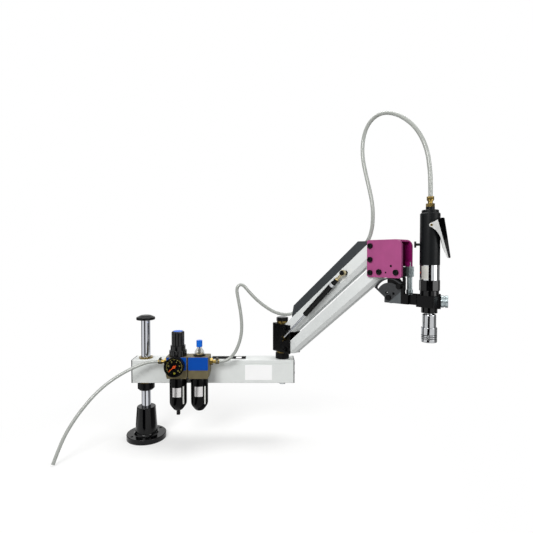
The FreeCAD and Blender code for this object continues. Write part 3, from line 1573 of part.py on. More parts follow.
pieces = {
    "base_casting": base_casting,
    "column_tube": column_tube,
    "column_cap": column_cap,
    "height_collar": height_collar,
    "beam_profile": beam_profile,
    "beam_end_plates": beam_end_plates,
    "end_plate_screws": end_plate_screws,
    "column_sleeve": column_sleeve,
    "column_bushes": column_bushes,
    "elbow_shaft": lambda: together(elbow_shaft(), elbow_nut()),
    "knurled_collar": knurled_collar,
    "filter_body": filter_body,
    "oiler_body": oiler_body,
    "frl_bracket": frl_bracket,
    "face_plates": face_plates,
    "filter_bowl": filter_bowl,
    "oil_bowl": oil_bowl,
    "sight_strips": sight_strips,
    "drain_valve": drain_valve,
    "regulator_bonnet": regulator_bonnet,
    "regulator_knob": regulator_knob,
    "dome_ring": dome_ring,
    "sight_dome": sight_dome,
    "drip_knob": drip_knob,
    "gauge_case": gauge_case,
    "gauge_glass": gauge_glass,
    "gauge_needle": gauge_needle,
    "frl_fittings": frl_fittings,
    "hose_clamps": hose_clamps,
    "elbow_block": elbow_block,
    "elbow_thrust_rings": elbow_thrust_rings,
    "link_pivot_bolts": lambda: together(elbow_pivot_bolts(), gas_lower_stud()),
    "elbow_knob": elbow_knob,
    "lower_link": lower_link,
    "upper_link": upper_link,
    "hose_cover": hose_cover,
    "gas_upper_stud": gas_upper_stud,
    "gas_rod": gas_rod,
    "gas_cylinder": gas_cylinder,
    "head_casting": head_casting,
    "head_bolts": head_bolts,
    "tilt_hanger": tilt_hanger,
    "tilt_bolts": tilt_bolts,
    "stop_screw": stop_screw,
    "sector_bracket": sector_bracket,
    "tool_clamp": tool_clamp,
    "clamp_screw": clamp_screw,
    "tool_body": tool_body,
    "exhaust_sleeve": exhaust_sleeve,
    "tool_collar": tool_collar,
    "gear_nose": gear_nose,
    "air_fitting": air_fitting,
    "lever": lever,
    "reverse_button": reverse_button,
    "chuck_body": chuck_body,
    "chuck_sleeve": chuck_sleeve,
    "inlet_hose": inlet_hose,
    "middle_hose": middle_hose,
    "cover_hose": cover_hose,
    "top_hose": top_hose,
}

os.makedirs("parts", exist_ok=True)
for node, make in pieces.items():
    make().exportStep(os.path.join("parts", node + ".step"))
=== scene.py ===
# %% [markdown]
# # A bench arm tapping machine
# The machine stands on a round cast foot. A beam turns on the column, an arm of two parallel links turns
# on the beam, and an air tool hangs upright at its end. The solids come from the imported model, so every
# piece made here only adds a finish, a softened edge or a small detail, and rides on the body that
# carries the real one, except the hose stretches that cross a joint, which stay fixed in place.

# %% Load the imported model
import bmesh
import bpy
import json
import math
from mathutils import Matrix, Vector


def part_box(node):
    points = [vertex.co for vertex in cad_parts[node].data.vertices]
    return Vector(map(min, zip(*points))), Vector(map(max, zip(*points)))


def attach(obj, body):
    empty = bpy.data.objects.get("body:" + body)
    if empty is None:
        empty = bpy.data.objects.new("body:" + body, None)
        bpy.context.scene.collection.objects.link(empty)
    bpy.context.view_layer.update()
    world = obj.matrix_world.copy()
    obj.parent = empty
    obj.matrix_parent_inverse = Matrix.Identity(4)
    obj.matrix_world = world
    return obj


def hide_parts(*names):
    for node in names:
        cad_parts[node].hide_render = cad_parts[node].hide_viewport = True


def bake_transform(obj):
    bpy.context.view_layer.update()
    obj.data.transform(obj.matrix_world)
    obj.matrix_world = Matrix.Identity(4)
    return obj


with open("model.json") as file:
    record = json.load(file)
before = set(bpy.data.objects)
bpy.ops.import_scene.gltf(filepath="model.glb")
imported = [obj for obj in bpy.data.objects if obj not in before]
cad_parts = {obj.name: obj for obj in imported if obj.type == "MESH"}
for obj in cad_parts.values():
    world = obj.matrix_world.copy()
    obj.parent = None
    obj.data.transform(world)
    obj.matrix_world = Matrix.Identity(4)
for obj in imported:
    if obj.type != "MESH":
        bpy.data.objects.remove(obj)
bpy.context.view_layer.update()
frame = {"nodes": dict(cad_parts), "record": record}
scene = bpy.context.scene

# %% [markdown]
# Sizes below are written in millimetres, as on a drawing, and Blender works in metres. The outer arm
# stands in its own upright plane, turned 50 degrees towards the viewer at the elbow. A matrix turns that
# plane's places into the machine's, which is easier to read than worked-out corners. In it x runs along
# the arm and y away from the viewer.

# %% Units and places
MM = 0.001
ELBOW = Vector((449, 0, 0)) * MM
ARM_YAW = math.radians(50)
TOOL_REACH = 511.56
TO_ARM = Matrix.Translation(ELBOW) @ Matrix.Rotation(-ARM_YAW, 4, "Z")


def at(x, y, z):
    """A point in millimetres as metres."""
    return Vector((x, y, z)) * MM


def arm_at(reach, side, height):
    """A point in the arm's own plane, in millimetres, as metres in the whole machine's frame."""
    return TO_ARM @ at(reach, side, height)


print("tool axis", [round(v, 4) for v in arm_at(TOOL_REACH, 0, 0)])

# %% [markdown]
# ## The camera
# The photograph was taken from in front of the machine's middle, 1.36 m away and a little above the
# elbow, looking down by a degree and a half. A 28 mm lens on Blender's 36 mm sensor gives its
# perspective.

# %% Camera
camera = bpy.data.objects.new("camera", bpy.data.cameras.new("camera"))
scene.collection.objects.link(camera)
camera.data.lens = 28.06
camera.data.sensor_width = 36
camera.location = at(397, -1361, 600)
camera.rotation_euler = (math.radians(90 - 1.5), 0, 0)
scene.camera = camera
print("lens", round(camera.data.lens, 2), "mm")

# %% [markdown]
# ## Light and floor
# A product studio is a white tent with a few soft boxes. The world gives an even light, and is plain
# white to the camera and in reflections, so the background stays white without more light on the machine.
# Area lamps give soft shadows, which a sun or a point lamp would not.

# %% Nodes and colours
def add(tree, kind, feeds=(), **settings):
    """Add one node, set its properties, and feed its inputs with values or with other nodes' outputs."""
    made = tree.nodes.new(kind)
    for key, value in settings.items():
        setattr(made, key, value)
    for key, value in dict(feeds).items():
        if isinstance(value, bpy.types.NodeSocket):
            tree.links.new(value, made.inputs[key])
        else:
            made.inputs[key].default_value = value
    return made


def linear(code, alpha=1.0):
    """One sRGB hex value as linear red, green, blue and alpha."""
    shares = [int(code[i:i + 2], 16) / 255 for i in (1, 3, 5)]
    return [c / 12.92 if c <= 0.04045 else ((c + 0.055) / 1.055) ** 2.4 for c in shares] + [alpha]


def seen_rays(tree):
    """One for a ray that the camera, a mirror or clear plastic sends out, and zero for bounced light."""
    rays = add(tree, "ShaderNodeLightPath").outputs
    seen = add(tree, "ShaderNodeMath", {0: rays["Is Camera Ray"], 1: rays["Is Glossy Ray"]},
               operation="MAXIMUM")
    seen = add(tree, "ShaderNodeMath", {0: seen.outputs[0], 1: rays["Is Transmission Ray"]},
               operation="MAXIMUM")
    return seen.outputs[0]


print("mid grey is", round(linear("#808080")[0], 3), "in linear light")

# %% World and lamps
TENT_LIGHT = 0.36
scene.view_settings.view_transform = "Standard"
world = bpy.data.worlds.new("studio")
scene.world = world
world.use_nodes = True
tree = world.node_tree
tree.nodes.clear()
level = add(tree, "ShaderNodeMapRange", {"Value": seen_rays(tree), "To Min": TENT_LIGHT, "To Max": 1.0})
sky = add(tree, "ShaderNodeBackground", {"Color": (1, 1, 1, 1), "Strength": level.outputs[0]})
add(tree, "ShaderNodeOutputWorld", {"Surface": sky.outputs[0]})


def lamp(name, place, aim, size, watts):
    """A soft box aimed at a point."""
    data = bpy.data.lights.new(name, "AREA")
    data.shape = "RECTANGLE"
    data.size, data.size_y = size
    data.energy = watts
    made = bpy.data.objects.new(name, data)
    scene.collection.objects.link(made)
    made.location = at(*place)
    made.rotation_euler = (at(*aim) - at(*place)).to_track_quat("-Z", "Y").to_euler()
    return made


lamp("key", (-500, -1900, 1500), (350, -100, 350), (0.9, 0.9), 34)
lamp("fill", (1900, -1300, 1000), (500, -200, 400), (0.8, 1.4), 14)
lamp("top", (400, 200, 2000), (400, -100, 300), (1.6, 0.8), 19)
print("lamps", [light.name for light in bpy.data.lights])

# %% [markdown]
# ## The floor
# The paper under the machine takes its shadow, and fades into plain white away from it. A diffuse shader
# near the foot and a glowing one further out do that, mixed by the distance. Bounced light sees a greyer
# paper, because a white one would light the black undersides from below.

# %% Floor
FADE_START, FADE_END = 0.15, 0.75


def mesh_object(name, bm, material):
    """Turn a bmesh into an object at the origin."""
    mesh = bpy.data.meshes.new(name)
    bm.to_mesh(mesh)
    bm.free()
    made = bpy.data.objects.new(name, mesh)
    scene.collection.objects.link(made)
    if material is not None:
        mesh.materials.append(material)
    return made


pale = bpy.data.materials.new("pale_paper_sweep")
pale.use_nodes = True
tree = pale.node_tree
tree.nodes.clear()
spot = add(tree, "ShaderNodeMapping", {"Vector": add(tree, "ShaderNodeTexCoord").outputs["Object"],
                                       "Location": (-0.2, 0.1, 0)})
away = add(tree, "ShaderNodeVectorMath", {0: spot.outputs[0]}, operation="LENGTH")
fade = add(tree, "ShaderNodeMapRange", {
    "Value": away.outputs["Value"], "From Min": FADE_START, "From Max": FADE_END,
    "To Min": 0.3, "To Max": 1.0})
paper = add(tree, "ShaderNodeBsdfDiffuse", {"Color": linear("#f8f8f7")})
glow = add(tree, "ShaderNodeEmission", {"Color": (1, 1, 1, 1), "Strength": 1.0})
clear_far = add(tree, "ShaderNodeMixShader", {0: fade.outputs[0], 1: paper.outputs[0], 2: glow.outputs[0]})
shade = add(tree, "ShaderNodeBsdfDiffuse", {"Color": linear("#a0a09f")})
floor_look = add(tree, "ShaderNodeMixShader", {
    0: seen_rays(tree), 1: shade.outputs[0], 2: clear_far.outputs[0]})
add(tree, "ShaderNodeOutputMaterial", {"Surface": floor_look.outputs[0]})
bm = bmesh.new()
bmesh.ops.create_circle(bm, cap_ends=True, segments=96, radius=7)
floor = mesh_object("floor", bm, pale)
print("floor", len(floor.data.vertices), "corners")

# %% [markdown]
# ## Cards for the reflections
# Chrome shows only what stands round it, and in a white tent it would look like white paint. So a
# photographer stands dark cards outside the view. Here they are emission planes that only glossy rays
# see, so they draw the dark stripes on the chrome and take no light away. Reflections that slope down
# meet the floor first, so some cards lie on it.

# %% Cards
def card_paper(name, strength):
    """A card of one even brightness, whatever light falls on it."""
    made = bpy.data.materials.new(name)
    made.use_nodes = True
    made.node_tree.nodes.clear()
    glow = add(made.node_tree, "ShaderNodeEmission", {"Strength": strength})
    add(made.node_tree, "ShaderNodeOutputMaterial", {"Surface": glow.outputs[0]})
    return made


card_black = card_paper("black_card", 0.004)
card_grey = card_paper("grey_card", 0.22)


def only_in_mirrors(name, bm, paper):
    """A stage piece that only reflections see."""
    made = mesh_object(name, bm, paper)
    made.visible_camera = made.visible_diffuse = made.visible_shadow = made.visible_transmission = False


def card(name, place, aim, width, height, paper=card_black):
    """An upright card, aimed at a point."""
    bm = bmesh.new()
    bmesh.ops.create_grid(bm, x_segments=1, y_segments=1, size=0.5)
    bmesh.ops.scale(bm, vec=at(width, height, 1), verts=bm.verts)
    turn = (at(*aim) - at(*place)).to_track_quat("Z", "Y").to_matrix().to_4x4()
    bmesh.ops.transform(bm, matrix=Matrix.Translation(at(*place)) @ turn, verts=bm.verts)
    only_in_mirrors(name, bm, paper)


card("card_front", (-1225, -6000, 1500), (-1225, 0, 1500), 3550, 7000)
card("card_right", (2600, 200, 700), (0, 200, 700), 3400, 3400, card_grey)
card("card_back_right", (1500, 2300, 700), (300, 0, 700), 1500, 3400)
card("card_back_left", (-2300, 1100, 700), (300, 300, 700), 2400, 3400)


def floor_card(name, corners, paper=card_black):
    """A card on the floor for the reflections that slope down."""
    bm = bmesh.new()
    bm.faces.new([bm.verts.new(at(x, y, 1)) for x, y in corners])
    bmesh.ops.recalc_face_normals(bm, faces=bm.faces)
    only_in_mirrors(name, bm, paper)


floor_card("floor_card_front", ((-70, -170), (15, -170), (550, -5900), (-3000, -5900)))
floor_card("floor_card_right", ((150, -80), (2500, -1400), (2500, 1900), (150, 90)), card_grey)
floor_card("floor_card_left", ((-120, 40), (-2500, 200), (-2500, 2300), (-60, 150)))

# %% [markdown]
# ## Finishes
# Each material starts from the real finish. Most of them differ in only a few things: the colour, how
# metallic and how smooth the surface is, the size of its grain, and how much the grain stands up. One
# builder makes the nodes for that. The grain is a noise on Object coordinates, so it stays put when a
# piece moves. Its scale is one over the grain's size in metres. A real grain is often finer than a pixel
# here, so it is drawn as coarse as it needs to show. Broader patches, thirty grains wide, vary the colour
# as wear and dust do.

# %% The finish builder
PATCH = 30


def finish(name, colour, metallic=0.0, roughness=0.5, grain=1.0, relief=0.1, mottle=0.06, spread=0.08,
           stretch=(1, 1, 1), **sockets):
    """A painted, moulded or machined surface with a grain given in millimetres."""
    made = bpy.data.materials.new(name)
    made.use_nodes = True
    tree = made.node_tree
    tree.nodes.clear()
    place = add(tree, "ShaderNodeTexCoord").outputs["Object"]
    place = add(tree, "ShaderNodeMapping", {"Vector": place, "Scale": stretch}).outputs[0]
    grains = add(tree, "ShaderNodeTexNoise", {"Vector": place, "Scale": 1 / (grain * MM), "Detail": 4.0})
    patches = add(tree, "ShaderNodeTexNoise", {
        "Vector": place, "Scale": 1 / (grain * PATCH * MM), "Detail": 2.0})
    tint = add(tree, "ShaderNodeValToRGB", {"Fac": patches.outputs["Fac"]})
    base = linear(colour)
    tint.color_ramp.elements[0].position = 0.3
    tint.color_ramp.elements[1].position = 0.7
    tint.color_ramp.elements[0].color = [c * (1 - mottle) for c in base[:3]] + [1]
    tint.color_ramp.elements[1].color = [min(1, c * (1 + mottle)) for c in base[:3]] + [1]
    rough = add(tree, "ShaderNodeMapRange", {
        "Value": grains.outputs["Fac"], "From Min": 0.3, "From Max": 0.7,
        "To Min": max(0.02, roughness - spread), "To Max": min(1, roughness + spread)})
    bump = add(tree, "ShaderNodeBump", {
        "Height": grains.outputs["Fac"], "Strength": relief, "Distance": grain * MM / 4})
    shader = add(tree, "ShaderNodeBsdfPrincipled", {
        "Base Color": tint.outputs[0], "Metallic": metallic, "Roughness": rough.outputs[0],
        "Normal": bump.outputs[0], **{key.replace("_", " "): value for key, value in sockets.items()}})
    add(tree, "ShaderNodeOutputMaterial", {"Surface": shader.outputs[0]})
    return made


# %% [markdown]
# The cast foot is enamelled, and the beam and the links are powder coated. The head is violet, and inside
# it a deeper, duller violet is painted shade. Powder melts into a skin with an orange peel of about a
# millimetre, which breaks up the highlight. A painted colour map would look the same from here, but the
# bump answers to the lamps.

# %% Paints and coatings
# Poured gloss enamel over a casting: nearly black, with hard highlights.
black_enamel = finish("gloss_black_enamel", "#020203", roughness=0.12, grain=3, relief=0.04, spread=0.04,
                      Specular_IOR_Level=0.25)
# Pale powder coats: soft highlights that follow the long faces.
pale_coat = finish("pale_grey_powder_coat", "#dcdfdd", roughness=0.42, grain=0.8, relief=0.08, mottle=0.02)
white_coat = finish("white_powder_coat", "#e3e6e5", roughness=0.4, grain=0.8, relief=0.08, mottle=0.02)
# The violet coat has the coarsest peel. Inside the head a deeper, duller violet is painted shade.
violet_painted_shade = finish("violet_inside_painted_shade", "#7f0058", roughness=0.6, grain=1.1, relief=0.25, mottle=0.1,
                       Specular_IOR_Level=0.2)
violet_coat = finish("violet_powder_coat", "#a3447c", roughness=0.5, grain=1.1, relief=0.25, mottle=0.06)
# The hose cover's coat is a slate black, greyed by its grain.
black_coat = finish("black_powder_coat", "#2b3033", roughness=0.45, grain=0.9, relief=0.12, mottle=0.08)
# The gas spring's tube is stoved black, smooth and glossy, with a bare band.
gas_black = finish("stoved_black_tube", "#040405", roughness=0.25, grain=1.5, relief=0.03,
                   Specular_IOR_Level=0.2)
gas_silver = finish("bare_silver_band", "#cfd1d3", metallic=0.6, roughness=0.3, grain=0.6, relief=0.03)
print("paints", len(bpy.data.materials))

# %% [markdown]
# Plated and turned metals differ mainly in roughness: hard chrome is a near mirror, a turned face has
# fine rings that blur it a little, and zinc plate is a satin grey. Oil-blackened steel reflects only at
# its edges. Metals keep the default IOR, and their colour is that of their reflection.

# %% Metals
# Hard chrome, ground and polished along the column: a near mirror with a faint blue.
hard_chrome = finish("hard_chrome", "#c3c5cb", metallic=1.0, roughness=0.05, grain=0.6, relief=0.0,
                     spread=0.01, mottle=0.02, stretch=(1, 1, 0.04))
# Turned bright steel on the chuck and the sleeve: sharp light and dark stripes.
turned_steel = finish("turned_bright_steel", "#bdbfc1", metallic=1.0, roughness=0.08, grain=0.5, relief=0.0,
                      spread=0.03, mottle=0.04)
# Zinc plate on the thumbscrew and the stop: a cool grey without sharp reflections.
zinc_plate = finish("zinc_plated_steel", "#a6b1b3", metallic=0.9, roughness=0.32, grain=1.2, relief=0.08,
                    mottle=0.12)
# The hose clamps' zinc has gone dull and brown, and screw heads stay bright.
dull_zinc = finish("dull_zinc_band", "#5f5b4c", metallic=0.8, roughness=0.35, grain=0.5, relief=0.06,
                   mottle=0.15)
bright_screw = finish("bright_zinc_screw", "#b8bcbe", metallic=1.0, roughness=0.3, grain=0.5, relief=0.06)
# Brass as machined on the fittings, and yellow chromated on the spring's neck.
machined_brass = finish("machined_brass", "#85713f", metallic=1.0, roughness=0.24, grain=0.6, relief=0.06,
                        mottle=0.1)
pale_brass = finish("zinc_yellow_brass", "#c9bc97", metallic=0.8, roughness=0.3, grain=0.6, relief=0.03,
                    mottle=0.15)
# Steel blackened in hot oil: satin on most parts, glossy on the ground collar.
black_oxide = finish("oil_blackened_steel", "#050506", roughness=0.3, grain=0.7, relief=0.06, mottle=0.15,
                     Specular_IOR_Level=0.14)
gloss_collar = finish("gloss_black_oxide", "#040405", roughness=0.1, grain=0.8, relief=0.02, spread=0.03,
                      Specular_IOR_Level=0.3)
# Phosphated steel of the quadrant: a dusty charcoal, and a paler charcoal on the gusset as painted light.
charcoal_steel = finish("phosphated_charcoal_steel", "#303234", metallic=0.2, roughness=0.55, grain=0.8,
                        relief=0.15, mottle=0.12)
gusset_painted_light = finish("charcoal_gusset_painted_light", "#565b5d", metallic=0.3, roughness=0.5, grain=0.8, relief=0.15,
                     mottle=0.15)
# The lever's cheek takes a bright steel as a painted reflection, and the chuck's grooves a near black as
# painted shade.
cheek_painted_reflection = finish("lever_cheek_painted_reflection", "#d4d5d4", metallic=0.3, roughness=0.3, grain=0.6, relief=0.05)
groove_painted_shade = finish("chuck_groove_painted_shade", "#111113", metallic=0.6, roughness=0.5, grain=0.5, relief=0.05)
print("with metals", len(bpy.data.materials))

# %% [markdown]
# The air unit is die-cast zinc with an olive chromate skin, under moulded nylon and ABS covers. Mouldings
# copy the spark-eroded texture of their tool, which softens the highlight. The tool's housing is
# anodised, which is satin.

# %% Castings and plastics
# Die-cast zinc, olive chromated: dull, uneven and slightly metallic.
olive_casting = finish("olive_chromated_zinc", "#675e43", metallic=0.35, roughness=0.5, grain=0.9,
                       relief=0.2, mottle=0.15)
# Moulded ABS in two blues: full colour with a soft sheen.
royal_blue_abs = finish("royal_blue_abs", "#0046a2", roughness=0.4, grain=0.5, relief=0.05, mottle=0.03,
                        Specular_IOR_Level=0.15)
sky_blue_abs = finish("sky_blue_abs", "#0a64cf", roughness=0.35, grain=0.5, relief=0.05, mottle=0.03,
                      Specular_IOR_Level=0.2)
# Moulded nylon: textured on small parts, polished on the knob, whose ribs draw thin streaks.
black_nylon = finish("black_moulded_nylon", "#050506", roughness=0.3, grain=0.6, relief=0.1, mottle=0.1,
                     Specular_IOR_Level=0.2)
gloss_nylon = finish("glossy_black_nylon", "#050506", roughness=0.16, grain=0.8, relief=0.04, mottle=0.1,
                     Specular_IOR_Level=0.4)
# Black anodised aluminium: a broad and even sheen down the housing.
satin_black = finish("satin_black_anodised", "#0a0c0e", roughness=0.4, grain=0.8, relief=0.05, mottle=0.1,
                     Specular_IOR_Level=0.13)
print("with plastics", len(bpy.data.materials))

# %% [markdown]
# The bowls are smoked polycarbonate, so dark that they pass for gloss black. The clear panes let the
# parts behind show by a low alpha, which is steadier than refraction in thin shells. The hose is soft
# clear PVC, milky at this size, so it scatters most of the light and passes a fifth.

# %% Clear parts
smoked_bowl = finish("smoked_polycarbonate", "#030304", roughness=0.12, grain=2.0, relief=0.03, mottle=0.1,
                     Specular_IOR_Level=0.11)
clear_pane = finish("clear_polycarbonate", "#8a8877", roughness=0.06, grain=2.0, relief=0.02, mottle=0.01,
                    Alpha=0.35, IOR=1.58)
# A pale base would lay fog over the dial, so the window's is nearly black.
gauge_window = finish("clear_gauge_window", "#0a0a0a", roughness=0.03, grain=3.0, relief=0.01, mottle=0.0,
                      spread=0.01, Alpha=0.08)
sight_window = finish("frosted_sight_window", "#e6e7e2", roughness=0.3, grain=1.0, relief=0.05, mottle=0.03)
clear_hose = finish("clear_soft_pvc", "#aeb1ac", roughness=0.18, grain=2.0, relief=0.03, mottle=0.02,
                    Transmission_Weight=0.2, IOR=1.52)
print("with clear parts", len(bpy.data.materials))

# %% [markdown]
# Plates, foils and prints are thin, and the eye tells them by their sheen: foil is a blurred mirror, an
# etched panel is duller, and screen print is flat.

# %% Foils and prints
foil = finish("bare_silver_foil", "#d4d2d2", metallic=0.85, roughness=0.3, grain=0.7, relief=0.05,
              mottle=0.05)
bare_panel = finish("etched_bare_panel", "#b9b8b1", metallic=0.3, roughness=0.45, grain=0.9, relief=0.2,
                    mottle=0.12)
bare_plate = finish("bare_white_plate", "#fafafa", roughness=0.35, grain=0.8, relief=0.03, mottle=0.01)
dial_black = finish("matt_black_dial", "#070708", roughness=0.7, grain=0.5, relief=0.03,
                    Specular_IOR_Level=0.05)
dial_print = finish("dial_print", "#c9bd62", roughness=0.6, grain=0.5, relief=0.02)
mark_green = finish("olive_dial_mark", "#8f8a14", roughness=0.6, grain=0.5, relief=0.02)
needle_orange = finish("orange_needle_paint", "#ff5a12", roughness=0.45, grain=0.5, relief=0.02)
print("all finishes", len(bpy.data.materials))

# %% [markdown]
# ## Edges that catch the light
# A machined or moulded edge is never sharp: a chamfer of half a millimetre draws a thin bright line round
# every face. It could be cut into the solid, but a Bevel modifier does it on every edge at once. Each
# solid here is copied, its triangles are merged back into flat faces, and the modifier rounds the edges.
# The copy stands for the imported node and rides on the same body.

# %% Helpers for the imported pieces
MERGE = 0.00001
FLAT_ENOUGH = math.radians(1)
EDGE_ANGLE = math.radians(32)
node_body = {}
for body, group in frame["record"]["behaviour"]["bodies"].items():
    for node in group:
        node_body[node] = body


def dress(material, *nodes):
    """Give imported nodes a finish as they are."""
    for node in nodes:
        frame["nodes"][node].data.materials.clear()
        frame["nodes"][node].data.materials.append(material)


def soften(node, material, width=0.6, segments=2, name=None):
    """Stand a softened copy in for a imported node."""
    source = frame["nodes"][node]
    bm = bmesh.new()
    bm.from_mesh(source.data)
    bmesh.ops.remove_doubles(bm, verts=bm.verts, dist=MERGE)
    bmesh.ops.dissolve_limit(bm, angle_limit=FLAT_ENOUGH, verts=bm.verts, edges=bm.edges)
    made = mesh_object(name or node + "_soft", bm, material)
    bevel = made.modifiers.new("edges", "BEVEL")
    bevel.width = width * MM
    bevel.segments = segments
    bevel.limit_method = "ANGLE"
    bevel.angle_limit = EDGE_ANGLE
    bevel.use_clamp_overlap = True
    made.data.shade_smooth()
    made.modifiers.new("normals", "WEIGHTED_NORMAL").keep_sharp = True
    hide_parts(node)
    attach(made, node_body[node])
    return made


print("nodes with a body", len(node_body))

# %% [markdown]
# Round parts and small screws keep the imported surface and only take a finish. The parts whose edges can
# be seen take a softened copy: a wide edge on castings, a narrow one on plates and machined blocks.

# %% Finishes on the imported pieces
dress(hard_chrome, "column_tube")
dress(black_nylon, "beam_end_plates", "drain_valve", "dome_ring", "gauge_case")
dress(bright_screw, "end_plate_screws", "elbow_shaft", "column_sleeve")
dress(dull_zinc, "hose_clamps")
dress(machined_brass, "column_bushes", "elbow_thrust_rings", "frl_fittings", "air_fitting")
dress(sight_window, "sight_strips")
dress(gauge_window, "gauge_glass")
dress(black_oxide, "frl_bracket", "tilt_bolts", "gas_upper_stud", "height_collar", "knurled_collar")
dress(sky_blue_abs, "drip_knob")
dress(turned_steel, "chuck_body", "chuck_sleeve", "exhaust_sleeve")
dress(clear_hose, "cover_hose")
for node, material, width in (
        ("base_casting", black_enamel, 1.2), ("column_cap", black_nylon, 1.2),
        ("beam_profile", pale_coat, 0.8), ("filter_body", olive_casting, 1.0),
        ("oiler_body", olive_casting, 1.0), ("face_plates", royal_blue_abs, 0.4),
        ("regulator_bonnet", gloss_nylon, 0.4), ("regulator_knob", gloss_nylon, 0.4),
        ("elbow_block", black_oxide, 1.0), ("link_pivot_bolts", black_oxide, 0.5),
        ("elbow_knob", black_nylon, 0.5), ("lower_link", white_coat, 0.8), ("upper_link", white_coat, 0.8),
        ("hose_cover", black_coat, 0.5), ("head_bolts", black_oxide, 0.6),
        ("tilt_hanger", black_oxide, 0.8), ("stop_screw", zinc_plate, 0.5),
        ("tool_clamp", black_oxide, 1.0), ("clamp_screw", zinc_plate, 0.6),
        ("tool_body", satin_black, 0.8), ("tool_collar", gloss_collar, 0.8),
        ("gear_nose", gloss_collar, 0.8), ("reverse_button", black_nylon, 0.5)):
    soften(node, material, width)

# %% [markdown]
# ## The hoses
# A clear hose of 10 mm feeds the air unit, loops from the lubricator up to the black cover, runs inside
# it along the arm, and loops over to the tool. A Bezier curve would need handles at every point, so each
# stretch is a NURBS curve whose control points follow the real route. Order 3 lets the line cut each
# corner smoothly. Where a stretch crosses a joint, it is a mesh fixed in place that rides on no body.

# %% Hose routes
HOSE = 10 * MM
inlet_route = [at(*p) for p in (
    (57, -62, 267), (32, -62, 267), (3, -67, 258.5), (-28, -75.5, 246), (-55, -84, 232), (-82, -94, 215),
    (-106, -105, 196), (-126, -116, 176), (-143, -128, 155), (-161, -140, 130), (-176, -153, 105),
    (-191, -167, 74), (-203, -181, 37), (-211, -194, 5))]
middle_route = [at(*p) for p in (
    (248, -62, 267), (269, -62, 267), (295, -60.5, 288.5), (312, -59, 325), (320, -58, 366),
    (317, -57, 412), (309, -56, 458), (301, -55, 499), (319, -54, 513), (341, -53, 487), (363, -52, 463),
    (391, -51, 440), (419, -49, 422), (443, -45, 414))]
entry_route = [at(*p) for p in (
    (443, -45, 414), (464, -40.5, 412), (482.55, -39.99, 415.74), (492.71, -52.09, 428))]
top_route = [arm_at(*p) for p in (
    (318, 0, 622), (338, 0, 637.52), (350, 0, 668), (353, 0, 700), (351, 0, 735), (341, 0, 775),
    (328, 0, 820), (318, 0, 862), (318, 0, 905), (331, 0, 942), (360, 0, 964), (398, 0, 962),
    (440, 0, 939), (478, 0, 900), (502, 0, 850), (510, 0, 800), (511.6, 0, 765), (511.6, 0, 737))]
split = (middle_route[-2] + middle_route[-1]) / 2
middle_route[-1] = split
entry_route.insert(0, split)
print("points on the routes", [len(route) for route in (inlet_route, middle_route, entry_route, top_route)])

# %% Hose stretches
def hose_curve(name, route):
    """A NURBS curve of the hose's thickness."""
    data = bpy.data.curves.new(name, "CURVE")
    data.dimensions = "3D"
    data.resolution_u = 8
    spline = data.splines.new("NURBS")
    spline.points.add(len(route) - 1)
    for point, place in zip(spline.points, route):
        point.co = (*place, 1)
    spline.order_u = 3
    spline.use_endpoint_u = True
    made = bpy.data.objects.new(name, data)
    scene.collection.objects.link(made)
    return made


def hose(name, route, node, bodies, blend=None):
    """A hose stretch as a mesh tube that rides on one body, or stays fixed in place across a joint."""
    guide = hose_curve(name + "_guide", route)
    line = bpy.data.meshes.new_from_object(guide)
    guide.data.bevel_depth = HOSE / 2
    guide.data.bevel_resolution = 4
    guide.data.use_fill_caps = True
    made = bpy.data.objects.new(name, bpy.data.meshes.new_from_object(guide))
    scene.collection.objects.link(made)
    bpy.data.objects.remove(guide)
    made.data.materials.clear()
    made.data.materials.append(clear_hose)
    made.data.shade_smooth()
    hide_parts(node)
    if blend:
        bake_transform(made)
    else:
        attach(made, bodies[0])
    return made


hose("inlet_tube", inlet_route, "inlet_hose", ["beam"])
hose("middle_tube", middle_route, "middle_hose", ["beam", "elbow"],
     blend=(middle_route[5], middle_route[-1]))
hose("entry_tube", entry_route, "middle_hose", ["elbow", "upper_arm"],
     blend=(entry_route[0], entry_route[-1]))
hose("top_tube", top_route, "top_hose", ["head", "tool"], blend=(top_route[0], top_route[-1]))

# %% [markdown]
# ## Plates and labels
# Thin plates and foils are flat sheets a few tenths of a millimetre thick, riveted or glued on. A plane
# would have no edge to catch the light, so they start as a box scaled to size, and a bevel rounds the
# corners.

# %% Bare plates
def sheet_box(name, low, high, material, body, bevel=0.1):
    """A thin rectangular plate between two corners, in millimetres."""
    bm = bmesh.new()
    bmesh.ops.create_cube(bm, size=1)
    low, high = at(*low), at(*high)
    bmesh.ops.scale(bm, vec=high - low, verts=bm.verts)
    bmesh.ops.translate(bm, vec=(low + high) / 2, verts=bm.verts)
    bmesh.ops.bevel(bm, geom=bm.edges[:], offset=bevel * MM, segments=2, profile=0.5, affect="EDGES",
                    material=-1)
    made = mesh_object(name, bm, material)
    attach(made, body)
    print(name, [round(v / MM, 1) for v in high - low], "mm")


sheet_box("beam_front_plate", (327.7, -30.5, 198.7), (414.8, -30, 247.4), bare_plate, "beam")
sheet_box("beam_top_plate", (217, -16, 263.6), (329, 20, 264.0), dial_black, "beam")
sheet_box("beam_top_patch", (297, -9, 264.0), (315, 12, 264.2), bare_plate, "beam")

# %% [markdown]
# A label on a round bowl follows the bowl. A flat one could be shrunk onto it, but spinning is exact: one
# upright edge is spun through part of a turn about the bowl's axis, which leaves an open strip, and the
# strip is given the thickness of a foil.

# %% Wrapped labels
LABEL_THICKNESS = 0.15
STEP_ANGLE = 5


